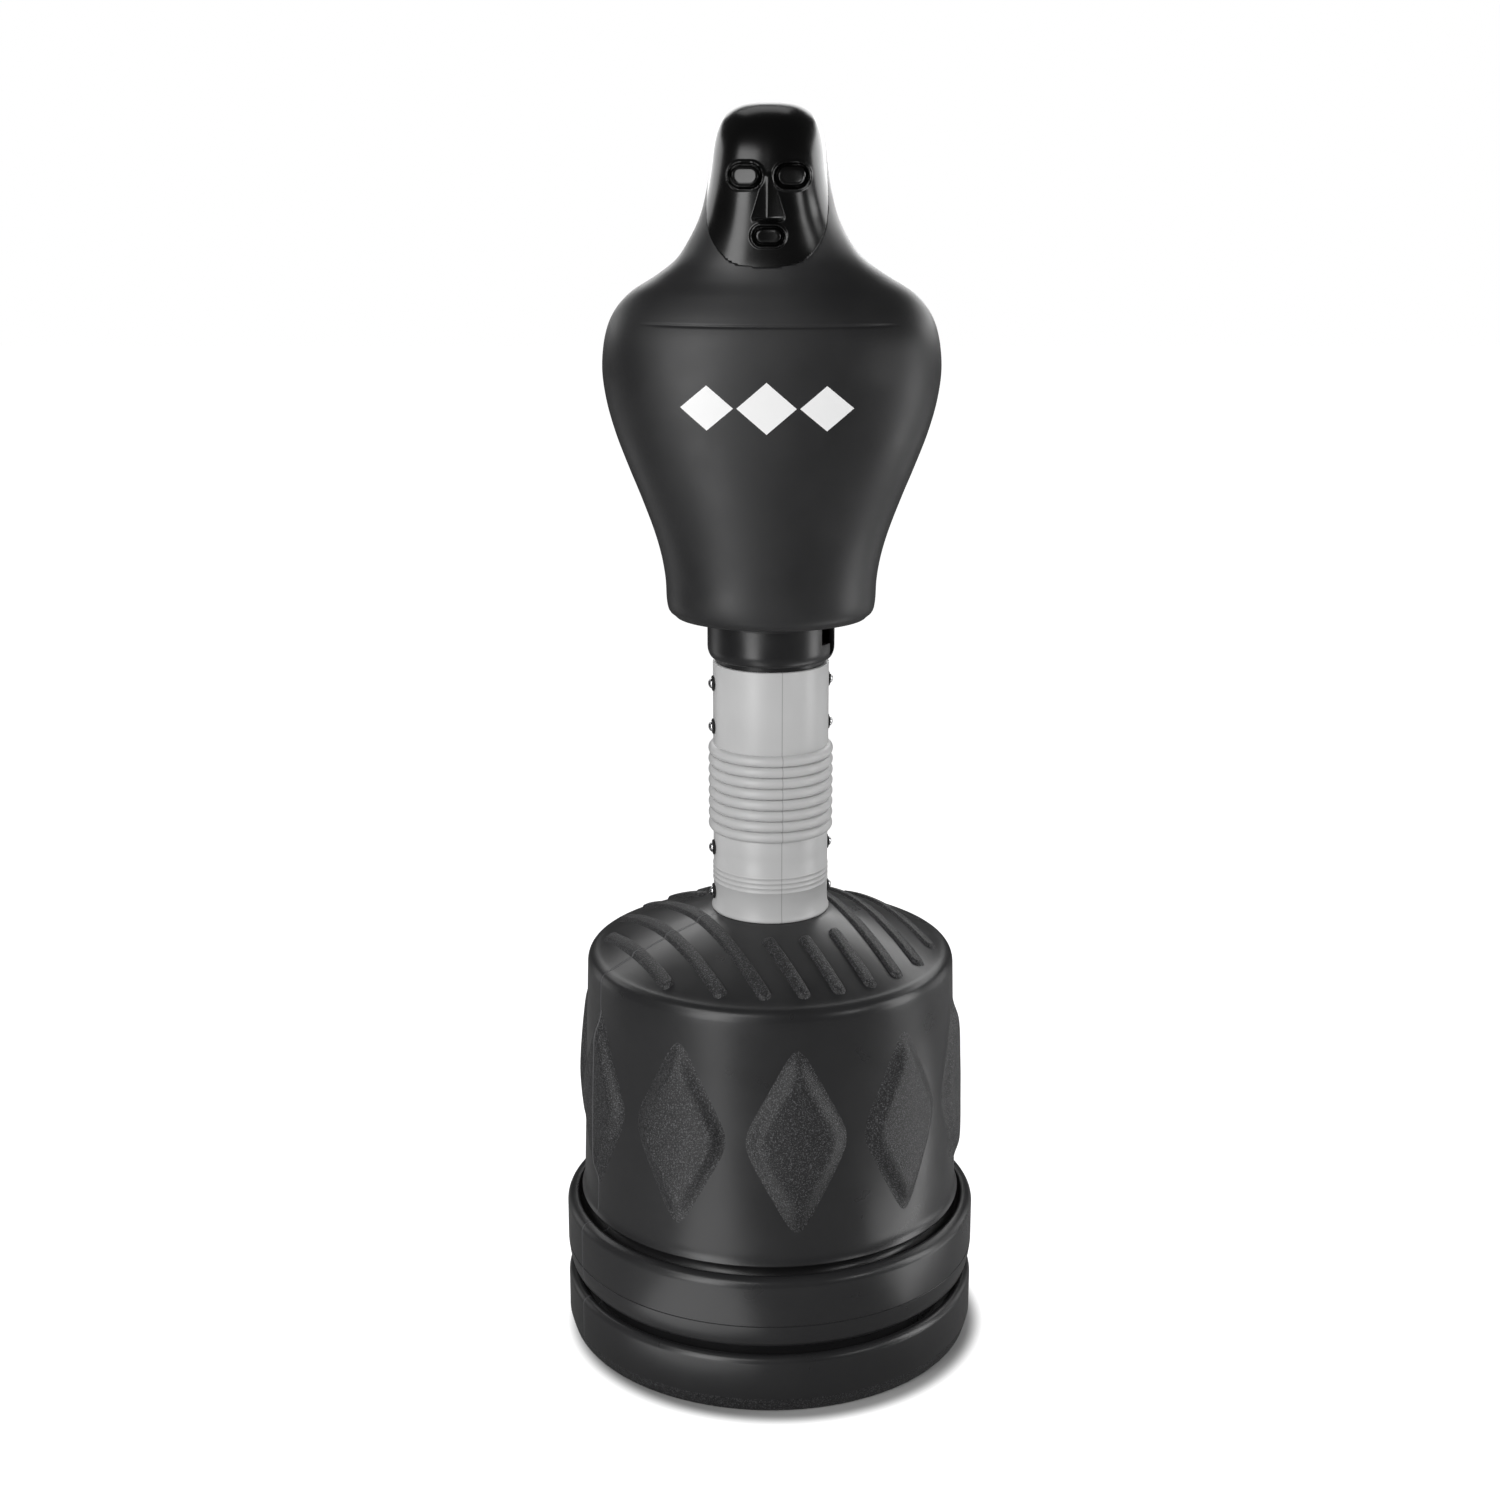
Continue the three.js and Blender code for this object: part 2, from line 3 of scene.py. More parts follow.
import bmesh
import bpy
from mathutils import Matrix, Vector


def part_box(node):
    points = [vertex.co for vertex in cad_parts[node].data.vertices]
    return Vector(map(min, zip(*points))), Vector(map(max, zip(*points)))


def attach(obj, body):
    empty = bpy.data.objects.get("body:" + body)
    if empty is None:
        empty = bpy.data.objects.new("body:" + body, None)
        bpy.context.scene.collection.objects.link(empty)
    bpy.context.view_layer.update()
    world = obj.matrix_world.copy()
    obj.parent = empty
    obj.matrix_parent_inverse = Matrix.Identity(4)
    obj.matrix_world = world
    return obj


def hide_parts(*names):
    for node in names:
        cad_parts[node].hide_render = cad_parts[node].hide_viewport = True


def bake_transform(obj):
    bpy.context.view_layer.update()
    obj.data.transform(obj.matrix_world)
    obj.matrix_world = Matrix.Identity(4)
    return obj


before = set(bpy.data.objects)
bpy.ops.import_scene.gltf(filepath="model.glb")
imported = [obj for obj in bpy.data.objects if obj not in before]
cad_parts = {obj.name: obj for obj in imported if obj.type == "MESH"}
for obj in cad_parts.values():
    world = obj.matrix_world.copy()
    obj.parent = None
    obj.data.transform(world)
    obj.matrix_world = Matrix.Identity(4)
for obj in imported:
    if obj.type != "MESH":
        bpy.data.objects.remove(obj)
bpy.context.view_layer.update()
mm = 0.001
scene = bpy.context.scene
print("frame loaded:", len(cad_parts), "nodes")


def hexColour(code):  # "#rrggbb" as sRGB to a linear colour
    parts = [int(code[i:i + 2], 16) / 255 for i in (1, 3, 5)]
    return tuple(c / 12.92 if c <= 0.04045 else ((c + 0.055) / 1.055) ** 2.4 for c in parts) + (1.0,)


def lerp(a, b, t):
    return a + (b - a) * t


def smooth(a, b, x):  # 0 at a, 1 at b, with soft ends
    t = min(max((x - a) / (b - a), 0.0), 1.0)
    return t * t * (3 - 2 * t)


def keyed(keys, x):  # a soft curve through (x, value) pairs in rising order
    if x <= keys[0][0]:
        return keys[0][1]
    for (x0, y0), (x1, y1) in zip(keys, keys[1:]):
        if x <= x1:
            return lerp(y0, y1, smooth(x0, x1, x))
    return keys[-1][1]


def arc(centre, radius, start, end, count):  # points of (radius, height), angles in degrees
    turns = [math.radians(lerp(start, end, i / count)) for i in range(count + 1)]
    return [(centre[0] + radius * math.cos(t), centre[1] + radius * math.sin(t)) for t in turns]


def bow(a, b, c, count):  # a quadratic bend from a to c, pulled towards b, without its first point
    points = []
    for i in range(1, count + 1):
        t = i / count
        points.append(tuple((1 - t) ** 2 * p + 2 * t * (1 - t) * q + t * t * r for p, q, r in zip(a, b, c)))
    return points


def spun(outline, steps):  # turns an outline of (radius, height) in mm about +Z
    bm = bmesh.new()
    verts = [bm.verts.new((r * mm, 0, z * mm)) for r, z in outline]
    for a, b in zip(verts, verts[1:]):
        bm.edges.new((a, b))
    bmesh.ops.spin(bm, geom=bm.verts[:] + bm.edges[:], cent=(0, 0, 0), axis=(0, 0, 1),
                   dvec=(0, 0, 0), angle=2 * math.pi, steps=steps, use_merge=True, use_duplicate=False)
    bmesh.ops.remove_doubles(bm, verts=bm.verts, dist=1e-6)
    bmesh.ops.recalc_face_normals(bm, faces=bm.faces)
    return bm


def piece(bm, name, material, matrix=None, angle=40):  # a finished object from a bmesh, placed in its mesh
    if matrix is not None:
        bmesh.ops.transform(bm, matrix=matrix, verts=bm.verts)
    mesh = bpy.data.meshes.new(name)
    bm.to_mesh(mesh)
    bm.free()
    mesh.materials.append(material)
    mesh.shade_smooth()
    mesh.set_sharp_from_angle(angle=math.radians(angle))
    made = bpy.data.objects.new(name, mesh)
    scene.collection.objects.link(made)
    return made


def settle(made):  # applies an object's modifiers to its mesh
    bpy.context.view_layer.update()
    graph = bpy.context.evaluated_depsgraph_get()
    final = bpy.data.meshes.new_from_object(made.evaluated_get(graph), depsgraph=graph)
    made.modifiers.clear()
    made.data = final
    return made


def cutAway(made, cutter):  # takes the cutter's shape out of a piece and removes the cutter
    cut = made.modifiers.new("cut", "BOOLEAN")
    cut.operation = "DIFFERENCE"
    cut.solver = "EXACT"
    cut.object = cutter
    settle(made)
    bpy.data.objects.remove(cutter)
    return made


def turnAbout(degrees):
    return Matrix.Rotation(math.radians(degrees), 4, "Z")


def radialPlace(degrees, height):  # local +Z points out from the axis at a height in mm
    return turnAbout(degrees) @ Matrix.Translation((0, 0, height * mm)) @ Matrix.Rotation(math.pi / 2, 4, "Y")


def addNode(tree, kind, inputs=None, **settings):  # one node with its settings, its values and its links
    made = tree.nodes.new(kind)
    for name, value in settings.items():
        setattr(made, name, value)
    for key, value in (inputs or {}).items():
        if isinstance(value, bpy.types.NodeSocket):
            tree.links.new(value, made.inputs[key])
        else:
            made.inputs[key].default_value = value
    return made


def startMaterial(name):
    material = bpy.data.materials.new(name)
    material.use_nodes = True
    tree = material.node_tree
    tree.nodes.clear()
    shader = addNode(tree, "ShaderNodeBsdfPrincipled")
    addNode(tree, "ShaderNodeOutputMaterial", {"Surface": shader.outputs["BSDF"]})
    place = addNode(tree, "ShaderNodeTexCoord").outputs["Object"]
    return material, tree, shader, place


def perMetre(sizeMm):  # noise scale for features of a real size in mm
    return 1000 / sizeMm


def mouldSeam(tree, place, azimuth, halfWidthMm):
    # 1 on the line where the mould's halves met, a plane through the axis at an angle from the front
    turn = math.radians(azimuth)
    across = addNode(tree, "ShaderNodeVectorMath", {0: place, 1: (math.cos(turn), math.sin(turn), 0)},
                     operation="DOT_PRODUCT")
    gap = addNode(tree, "ShaderNodeMath", {0: across.outputs["Value"]}, operation="ABSOLUTE")
    return addNode(tree, "ShaderNodeMapRange", {"Value": gap.outputs[0], "From Min": halfWidthMm * mm,
                                                "From Max": halfWidthMm * 0.4 * mm}).outputs["Result"]


def seamed(tree, place, colour, height, look):  # adds the mould's seam, if the piece has one
    if "seam" not in look:
        return colour, height
    azimuth, halfWidthMm, rise, tone = look["seam"]
    line = mouldSeam(tree, place, azimuth, halfWidthMm)
    ridge = addNode(tree, "ShaderNodeMath", {0: line, 1: rise, 2: height}, operation="MULTIPLY_ADD")
    tinted = addNode(tree, "ShaderNodeMix", {"Factor": line, 6: colour, 7: hexColour(tone)}, data_type="RGBA")
    return tinted.outputs[2], ridge.outputs[0]


def mouldedPlastic(name, look):
    # injection or rotational moulding: a satin skin, faint cloudy shine and the tool's fine texture
    material, tree, shader, place = startMaterial(name)
    cloud = addNode(tree, "ShaderNodeTexNoise", {"Vector": place, "Scale": perMetre(look["cloudMm"]),
                                                 "Detail": 3.0})
    grain = addNode(tree, "ShaderNodeTexNoise", {"Vector": place, "Scale": perMetre(look["grainMm"]),
                                                 "Detail": 2.0})
    tint = addNode(tree, "ShaderNodeMix", {"Factor": cloud.outputs["Fac"], 6: hexColour(look["dark"]),
                                           7: hexColour(look["light"])}, data_type="RGBA")
    low, high = look["roughness"]
    shine = addNode(tree, "ShaderNodeMapRange", {"Value": cloud.outputs["Fac"], "From Min": 0.3,
                                                 "From Max": 0.7, "To Min": low, "To Max": high})
    colour, height = seamed(tree, place, tint.outputs[2], grain.outputs["Fac"], look)
    bump = addNode(tree, "ShaderNodeBump", {"Height": height, "Strength": look["bump"],
                                            "Distance": look["bumpMm"] * mm})
    tree.links.new(colour, shader.inputs["Base Color"])
    tree.links.new(shine.outputs["Result"], shader.inputs["Roughness"])
    tree.links.new(bump.outputs["Normal"], shader.inputs["Normal"])
    shader.inputs["IOR"].default_value = look["ior"]
    return material


def grainyPlastic(name, look):
    # the etched areas of the mould: coarse grit in bumps and flecks of a second tone; on the black plastic
    # the light flecks are painted glints for the grit's sparkle
    material, tree, shader, place = startMaterial(name)
    grit = addNode(tree, "ShaderNodeTexNoise", {"Vector": place, "Scale": perMetre(look["gritMm"]),
                                                "Detail": 3.0, "Roughness": 0.65})
    # the flecks: the foam's own mottled tone, and painted glints on the black plastic
    grainAndPaintedGlint = addNode(tree, "ShaderNodeMapRange", {"Value": grit.outputs["Fac"], "From Min": 0.5,
                                                 "From Max": 0.68})
    tint = addNode(tree, "ShaderNodeMix", {"Factor": grainAndPaintedGlint.outputs["Result"], 6: hexColour(look["dark"]),
                                           7: hexColour(look["light"])}, data_type="RGBA")
    colour, height = seamed(tree, place, tint.outputs[2], grit.outputs["Fac"], look)
    bump = addNode(tree, "ShaderNodeBump", {"Height": height, "Strength": look["bump"],
                                            "Distance": look["bumpMm"] * mm})
    tree.links.new(colour, shader.inputs["Base Color"])
    tree.links.new(bump.outputs["Normal"], shader.inputs["Normal"])
    shader.inputs["Roughness"].default_value = look["roughness"]
    shader.inputs["IOR"].default_value = 1.5
    return material


def plainMetal(name, look):
    # plated or oiled steel: the finish is in the fine unevenness of its shine
    material, tree, shader, place = startMaterial(name)
    cloud = addNode(tree, "ShaderNodeTexNoise", {"Vector": place, "Scale": perMetre(look["cloudMm"]),
                                                 "Detail": 3.0})
    low, high = look["roughness"]
    shine = addNode(tree, "ShaderNodeMapRange", {"Value": cloud.outputs["Fac"], "From Min": 0.3,
                                                 "From Max": 0.7, "To Min": low, "To Max": high})
    tint = addNode(tree, "ShaderNodeMix", {"Factor": cloud.outputs["Fac"], 6: hexColour(look["dark"]),
                                           7: hexColour(look["light"])}, data_type="RGBA")
    tree.links.new(tint.outputs[2], shader.inputs["Base Color"])
    tree.links.new(shine.outputs["Result"], shader.inputs["Roughness"])
    shader.inputs["Metallic"].default_value = 1.0
    return material


# in each look: a mould seam is its angle from the front, half-width in mm, rise against the grain, and tone
satinPolyethylene = mouldedPlastic("satinBlackPolyethylene", {
    "dark": "#262627", "light": "#2c2c2d", "roughness": (0.27, 0.35), "cloudMm": 60, "grainMm": 2.5,
    "bump": 0.25, "bumpMm": 0.15, "ior": 1.5, "seam": (-64.5, 2.0, 12.0, "#4c4c4e")})
# the real grit is finer than this, but would be lost at the object's size
# its light flecks are painted glints on the grit
grainyPolyethylene = grainyPlastic("grainyBlackPolyethylene", {
    "dark": "#1a1a1b", "light": "#626264", "roughness": 0.45, "gritMm": 1.7, "bump": 1.0, "bumpMm": 0.8,
    "seam": (-64.5, 2.0, 1.6, "#5c5c5e")})
blackPolypropylene = mouldedPlastic("blackPolypropylene", {
    "dark": "#1c1c1d", "light": "#232324", "roughness": (0.28, 0.36), "cloudMm": 45, "grainMm": 2.0,
    "bump": 0.15, "bumpMm": 0.1, "ior": 1.5})
greyPolyurethane = mouldedPlastic("lightGreyPolyurethane", {
    "dark": "#c6c6c6", "light": "#cccccc", "roughness": (0.34, 0.42), "cloudMm": 40, "grainMm": 1.8,
    "bump": 0.2, "bumpMm": 0.1, "ior": 1.5, "seam": (10.7, 0.8, -3.0, "#a4a4a4")})
blackNitrile = mouldedPlastic("blackNitrileRubber", {
    "dark": "#141414", "light": "#1c1c1c", "roughness": (0.7, 0.8), "cloudMm": 12, "grainMm": 1.2,
    "bump": 0.3, "bumpMm": 0.1, "ior": 1.5})
castFoam = grainyPlastic("castPolyurethaneFoam", {
    "dark": "#c9bd8f", "light": "#e3dab4", "roughness": 0.95, "gritMm": 4.0, "bump": 0.6, "bumpMm": 0.8})
zincPlate = plainMetal("brightZincPlate", {
    "dark": "#c4c4c6", "light": "#dededf", "roughness": (0.12, 0.24), "cloudMm": 6})
springSteel = plainMetal("oiledSpringSteel", {
    "dark": "#3d3e41", "light": "#5a5b5e", "roughness": (0.3, 0.45), "cloudMm": 20})
print("materials made")


cameraSet = {"lens": 54.82, "place": (-0.0268, -2.856, 1.588), "lookDown": 15.4}  # mm, metres, degrees


def addCamera():
    data = bpy.data.cameras.new("camera")
    data.lens = cameraSet["lens"]
    data.sensor_width = 36
    made = bpy.data.objects.new("camera", data)
    made.location = cameraSet["place"]
    made.rotation_euler = (math.radians(90 - cameraSet["lookDown"]), 0, 0)
    scene.collection.objects.link(made)
    scene.camera = made


# tones of the room as matt and as shiny surfaces see it, of the floor, and where its painted contact shadow
# fades out
studio = {"paper": "#b4b4b4", "floorSize": 14, "fillTone": 0.12, "mirrorTone": 0.05, "floorTone": 0.35,
          "paintedShadowFrom": 0.262, "paintedShadowTo": 0.294, "paintedShadowShift": (0.008, -0.016)}
softboxes = {  # azimuth from the front towards +X and distance, low and high edge, width, radiance
    "leftKey": (-34, 2.4, 0.05, 2.1, 0.95, 5.0),
    "leftBoom": (-36, 2.4, 2.1, 3.0, 2.1, 4.2),
    "rightStrip": (83, 2.2, 0.05, 1.7, 0.7, 5.0),
    "rightFill": (49, 2.4, 1.15, 1.8, 0.45, 5.0),
    "leftEdge": (-118, 2.0, 0.0, 0.9, 0.8, 0.8),
    "rightEdge": (118, 2.0, 0.0, 0.9, 0.8, 1.0),
    "leftRim": (-139, 1.9, 1.5, 2.1, 1.9, 2.0),
    "rightRim": (135, 1.9, 1.5, 2.1, 2.2, 3.4),
    "backWall": (180, 1.75, 1.4, 2.4, 1.5, 2.2),
}
overhead = {"place": (-0.1, 1.3, 3.0), "aim": (0, 0, 0.8), "size": (1.1, 0.8), "radiance": 0.8}
bounces = {  # pools of light on the floor: middle, length, width, heading of the length, radiance
    "leftBounce": ((-0.46, -0.78), 1.1, 0.36, -122, 1.6),
    "rightBounce": ((0.82, -0.07), 0.9, 0.3, 40, 2.4),
}


def addSoftbox(name, place, aim, size, radiance):
    data = bpy.data.lights.new(name, "AREA")
    data.shape = "RECTANGLE"
    data.size, data.size_y = size
    data.energy = radiance * math.pi * size[0] * size[1]
    made = bpy.data.objects.new(name, data)
    made.location = place
    made.rotation_euler = (Vector(aim) - Vector(place)).to_track_quat("-Z", "Y").to_euler()
    made.visible_camera = False
    scene.collection.objects.link(made)
    return made


def paperSweep():
    # matt paper, evenly lit: white to the eye beyond a painted contact shadow, dull to what stands on it
    paper, tree, shader, place = startMaterial("palePaper")
    shader.inputs["Base Color"].default_value = hexColour(studio["paper"])
    shader.inputs["Roughness"].default_value = 0.9
    shader.inputs["Specular IOR Level"].default_value = 0.0
    seen = addNode(tree, "ShaderNodeLightPath").outputs["Is Camera Ray"]
    # painted contact shadow: the floor's glow fades to nothing near the base, in a ring set a little to the
    # front and right
    middle = (*studio["paintedShadowShift"], 0)
    reach = addNode(tree, "ShaderNodeVectorMath", {0: place, 1: middle}, operation="DISTANCE")
    clear = addNode(tree, "ShaderNodeMapRange", {"Value": reach.outputs["Value"],
                                                 "From Min": studio["paintedShadowFrom"],
                                                 "From Max": studio["paintedShadowTo"]},
                    interpolation_type="SMOOTHSTEP")
    glow = addNode(tree, "ShaderNodeEmission", {"Color": (1, 1, 1, 1), "Strength": clear.outputs["Result"]})
    lit = addNode(tree, "ShaderNodeAddShader", {0: shader.outputs["BSDF"], 1: glow.outputs["Emission"]})
    dull = addNode(tree, "ShaderNodeBsdfDiffuse", {"Color": (studio["floorTone"],) * 3 + (1,)})
    both = addNode(tree, "ShaderNodeMixShader", {0: seen, 1: dull.outputs["BSDF"], 2: lit.outputs["Shader"]})
    tree.links.new(both.outputs["Shader"], tree.nodes["Material Output"].inputs["Surface"])
    return paper


def addFloor():
    bm = bmesh.new()
    bmesh.ops.create_grid(bm, x_segments=1, y_segments=1, size=studio["floorSize"])
    piece(bm, "paleFloor", paperSweep())


def addRoom():  # the world: white to the camera, dim to everything else
    world = bpy.data.worlds.new("studio")
    world.use_nodes = True
    tree = world.node_tree
    path = addNode(tree, "ShaderNodeLightPath")
    room = addNode(tree, "ShaderNodeMix", {"Factor": path.outputs["Is Diffuse Ray"], 2: studio["mirrorTone"],
                                           3: studio["fillTone"]}, data_type="FLOAT")
    tone = addNode(tree, "ShaderNodeMix", {"Factor": path.outputs["Is Camera Ray"], 2: room.outputs[0],
                                           3: 1.0}, data_type="FLOAT")
    tree.links.new(tone.outputs[0], tree.nodes["Background"].inputs["Strength"])
    tree.nodes["Background"].inputs["Color"].default_value = (1, 1, 1, 1)
    scene.world = world
    scene.view_settings.view_transform = "Standard"


def addLights():
    for name, (azimuth, distance, low, high, width, radiance) in softboxes.items():
        turn = math.radians(azimuth)
        middle = (low + high) / 2
        spot = (distance * math.sin(turn), -distance * math.cos(turn), middle)
        addSoftbox(name, spot, (0, 0, middle), (width, high - low), radiance)
    addSoftbox("overhead", overhead["place"], overhead["aim"], overhead["size"], overhead["radiance"])
    for name, (middle, length, width, heading, radiance) in bounces.items():
        made = addSoftbox(name, (*middle, 0.01), (*middle, 1), (length, width), radiance)
        made.rotation_euler = (math.pi, 0, math.radians(heading))


addCamera()
addFloor()
addRoom()
addLights()
print("camera and studio ready")


# radii and heights in mm; the dome's curve runs from its edge to its inner radius, pulled towards its bow
tank = {"ring": 275, "wallFoot": 251, "wallFootZ": 210, "wallTop": 242, "shoulder": 508,
        "domeEdge": (224, 536), "domeBow": (158, 567.5), "domeInner": 77, "top": 589.7, "well": 61,
        "wellFloor": 470, "etchedFoot": 18, "seam": -64.5, "steps": 256, "wallSteps": 24}
lozenge = {"count": 10, "halfWidth": 72, "halfHeight": 135, "middle": 361, "border": 22, "rise": 9.5,
           "cells": 52, "roundness": 6.5}
rib = {"pitch": 46, "shift": -6, "width": 18, "rise": 5.2, "slope": 3.4, "inner": 108, "outer": 216,
       "missing": 1}
filler = {"boss": 33, "bore": 21, "cap": 29, "plug": 20.2, "flutes": 16, "fluteDepth": 0.7, "grip": (46, 9)}


def domeCurve():
    return [tank["domeEdge"]] + bow(tank["domeEdge"], tank["domeBow"], (tank["domeInner"], tank["top"]), 24)


def domeHeight(radius):
    points = domeCurve()
    for (r0, z0), (r1, z1) in zip(points, points[1:]):
        if r1 <= radius <= r0:
            return lerp(z0, z1, (r0 - radius) / (r0 - r1))
    return tank["top"] if radius < tank["domeInner"] else tank["domeEdge"][1]


def wallRadius(z):
    share = (z - tank["wallFootZ"]) / (tank["shoulder"] - tank["wallFootZ"])
    return lerp(tank["wallFoot"], tank["wallTop"], share)


def footRing():  # the lower ring, from the floor to its top edge
    ring = tank["ring"]
    points = [(0, 0), (180, 0), (262, 0), (268, 0.8), (270, 3), (272, 9), (274, 16), (ring, 20), (ring, 44)]
    return points + arc((ring - 10, 68), 10, 0, 84, 8)


def lowerGroove():  # the slot between the two rings
    return [(263.8, 77.6), (262.6, 76), (262, 71), (259, 65), (254, 63), (249, 66), (247, 73), (247, 82),
            (249, 87), (253, 88.8), (261, 89.2)]


def upperRing():  # the ring above, with the fine line where the mould's parts met
    ring = tank["ring"]
    points = [(266, 90.4), (269.4, 93.6), (271.4, 98.5), (272.6, 104), (273.4, 108), (274.6, 117)]
    points += [(ring, 121.7), (ring - 1, 122.4), (ring - 1, 123.4), (ring, 124.1), (ring, 148)]
    return points + arc((ring - 13, 174), 13, 0, 80, 12)


def upperGroove():  # the slot between the upper ring and the drum, and the drum's foot
    points = [(261.6, 187), (260, 186.2), (259, 184), (258.2, 177), (254, 171), (247, 168), (239, 170)]
    points += [(234, 176), (232, 184), (233, 190), (237, 193.4), (243, 194.4), (251.5, 194.4), (254.4, 195)]
    points.append((255, 196.4))
    return points + bow((255, 196.4), (251, 201.6), (tank["wallFoot"] - 0.1, 213), 6)


def drumAndDome():
    heights = [lerp(214, tank["shoulder"], i / tank["wallSteps"]) for i in range(1, tank["wallSteps"] + 1)]
    points = [(wallRadius(z), z) for z in heights] + [(241.7, 518)]
    points += bow((241.7, 518), (240.6, 532.4), (228, 534.6), 10) + domeCurve()
    points += [(70, tank["top"]), (tank["well"], tank["top"] - 1), (tank["well"], tank["wellFloor"])]
    return points + [(0, tank["wellFloor"])]


def tankOutline():
    return footRing() + lowerGroove() + upperRing() + upperGroove() + drumAndDome()


def fillerPlace():
    low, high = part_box("fill_cap")
    return Vector(((low[0] + high[0]) / 2, (low[1] + high[1]) / 2, 0))


def makeTank():
    shell = piece(spun(tankOutline(), tank["steps"]), "tankShell", satinPolyethylene)
    shell.data.materials.append(grainyPolyethylene)
    for face in shell.data.polygons:  # the rim it stands on is etched like the relief
        face.material_index = 1 if face.center.z < tank["etchedFoot"] * mm else 0
    centre = fillerPlace()
    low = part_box("cap_gasket")[0][2] / mm - 0.3
    bore, rim = filler["bore"], filler["boss"]
    collar = [(bore, low - 34), (bore, low - 1), (bore + 1, low), (rim - 2, low), (rim, low - 2),
              (rim + 1, low - 12), (rim + 4, low - 34), (bore, low - 34)]
    boss = piece(spun(collar, 72), "fillerBoss", satinPolyethylene, Matrix.Translation(centre))
    hole = [(0, low - 60), (bore, low - 60), (bore, low + 20), (0, low + 20)]
    cutAway(shell, piece(spun(hole, 72), "hole", satinPolyethylene, Matrix.Translation(centre)))
    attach(shell, "base")
    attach(boss, "base")
    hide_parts("base_tank")


def lozengeRise(inward):  # height above the drum at a distance in from the edge, both in mm
    if inward < 0:
        return max(-1.2, inward * 0.3)
    t = min(inward / lozenge["border"], 1.0)
    crown = 0.6 * smooth(lozenge["border"], 58, inward)
    return lozenge["rise"] * (t - 0.1 * math.sin(2 * math.pi * t)) + crown


def makeLozenge(number):
    w, h = lozenge["halfWidth"], lozenge["halfHeight"]
    reach = w * h / math.hypot(w, h)
    azimuth = math.radians(tank["seam"] + number * 360 / lozenge["count"])
    bm = bmesh.new()
    bmesh.ops.create_grid(bm, x_segments=lozenge["cells"], y_segments=lozenge["cells"], size=1)
    power = lozenge["roundness"]
    for v in bm.verts:
        a, b = v.co.x, v.co.y
        across, up = w * (a - b) / 2, h * (a + b) / 2
        edge = (abs(a) ** power + abs(b) ** power) ** (1 / power)
        z = lozenge["middle"] + up
        radius = wallRadius(z) + lozengeRise((1 - edge) * reach)
        angle = azimuth + across / wallRadius(lozenge["middle"])
        v.co = Vector((radius * math.sin(angle), -radius * math.cos(angle), z)) * mm
    closeBehind(bm, 4)
    pad = piece(bm, f"lozenge_{number + 1}", grainyPolyethylene)
    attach(pad, "base")


def closeBehind(bm, depthMm):  # gives an open pad a rim and a back, buried in what it stands on
    rim = [e for e in bm.edges if e.is_boundary]
    made = bmesh.ops.extrude_edge_only(bm, edges=rim)["geom"]
    for v in (g for g in made if isinstance(g, bmesh.types.BMVert)):
        flat = Vector((v.co.x, v.co.y, 0))
        onDrum = flat.length > 0.23
        v.co -= (flat.normalized() if onDrum else Vector((0, 0, 1))) * depthMm * mm
    bmesh.ops.holes_fill(bm, edges=[e for e in bm.edges if e.is_boundary], sides=0)
    bmesh.ops.recalc_face_normals(bm, faces=bm.faces)


def ribSpans():
    spans = []
    for step in range(-4, 5):
        offset = rib["shift"] + rib["pitch"] * step
        reach = math.sqrt(rib["outer"] ** 2 - offset ** 2)
        if abs(offset) > tank["domeInner"]:
            spans.append((offset, -reach, reach))
            continue
        start = math.sqrt(rib["inner"] ** 2 - offset ** 2)
        spans.append((offset, start, reach))
        if step != rib["missing"]:  # the filler boss stands in place of this one
            spans.append((offset, -reach, -start))
    return spans


def makeRib(number, offset, start, end):
    half = rib["width"] / 2
    straight = (end - start) / 2 - half
    middle = (start + end) / 2
    turn = turnAbout(tank["seam"])
    bm = bmesh.new()
    bmesh.ops.create_grid(bm, x_segments=max(24, int(straight / 2)), y_segments=20, size=1)
    for v in bm.verts:
        u = math.sin(v.co.x * math.pi / 2)
        w = math.sin(v.co.y * math.pi / 2) * half
        x = u * (straight + math.sqrt(max(half ** 2 - w ** 2, 0)))
        inward = half - math.hypot(max(abs(x) - straight, 0), w)
        rise = rib["rise"] * smooth(-0.5, rib["slope"], inward) - 0.4
        rise += 0.5 * smooth(rib["slope"], half, inward)
        spot = turn @ Vector((middle + x, offset + w, 0))
        v.co = Vector((spot.x, spot.y, domeHeight(spot.length) + rise)) * mm
    closeBehind(bm, 3)
    bar = piece(bm, f"domeRib_{number}", grainyPolyethylene)
    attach(bar, "base")


makeTank()
for number in range(lozenge["count"]):
    makeLozenge(number)
for number, span in enumerate(ribSpans(), 1):
    makeRib(number, *span)
print("tank made")


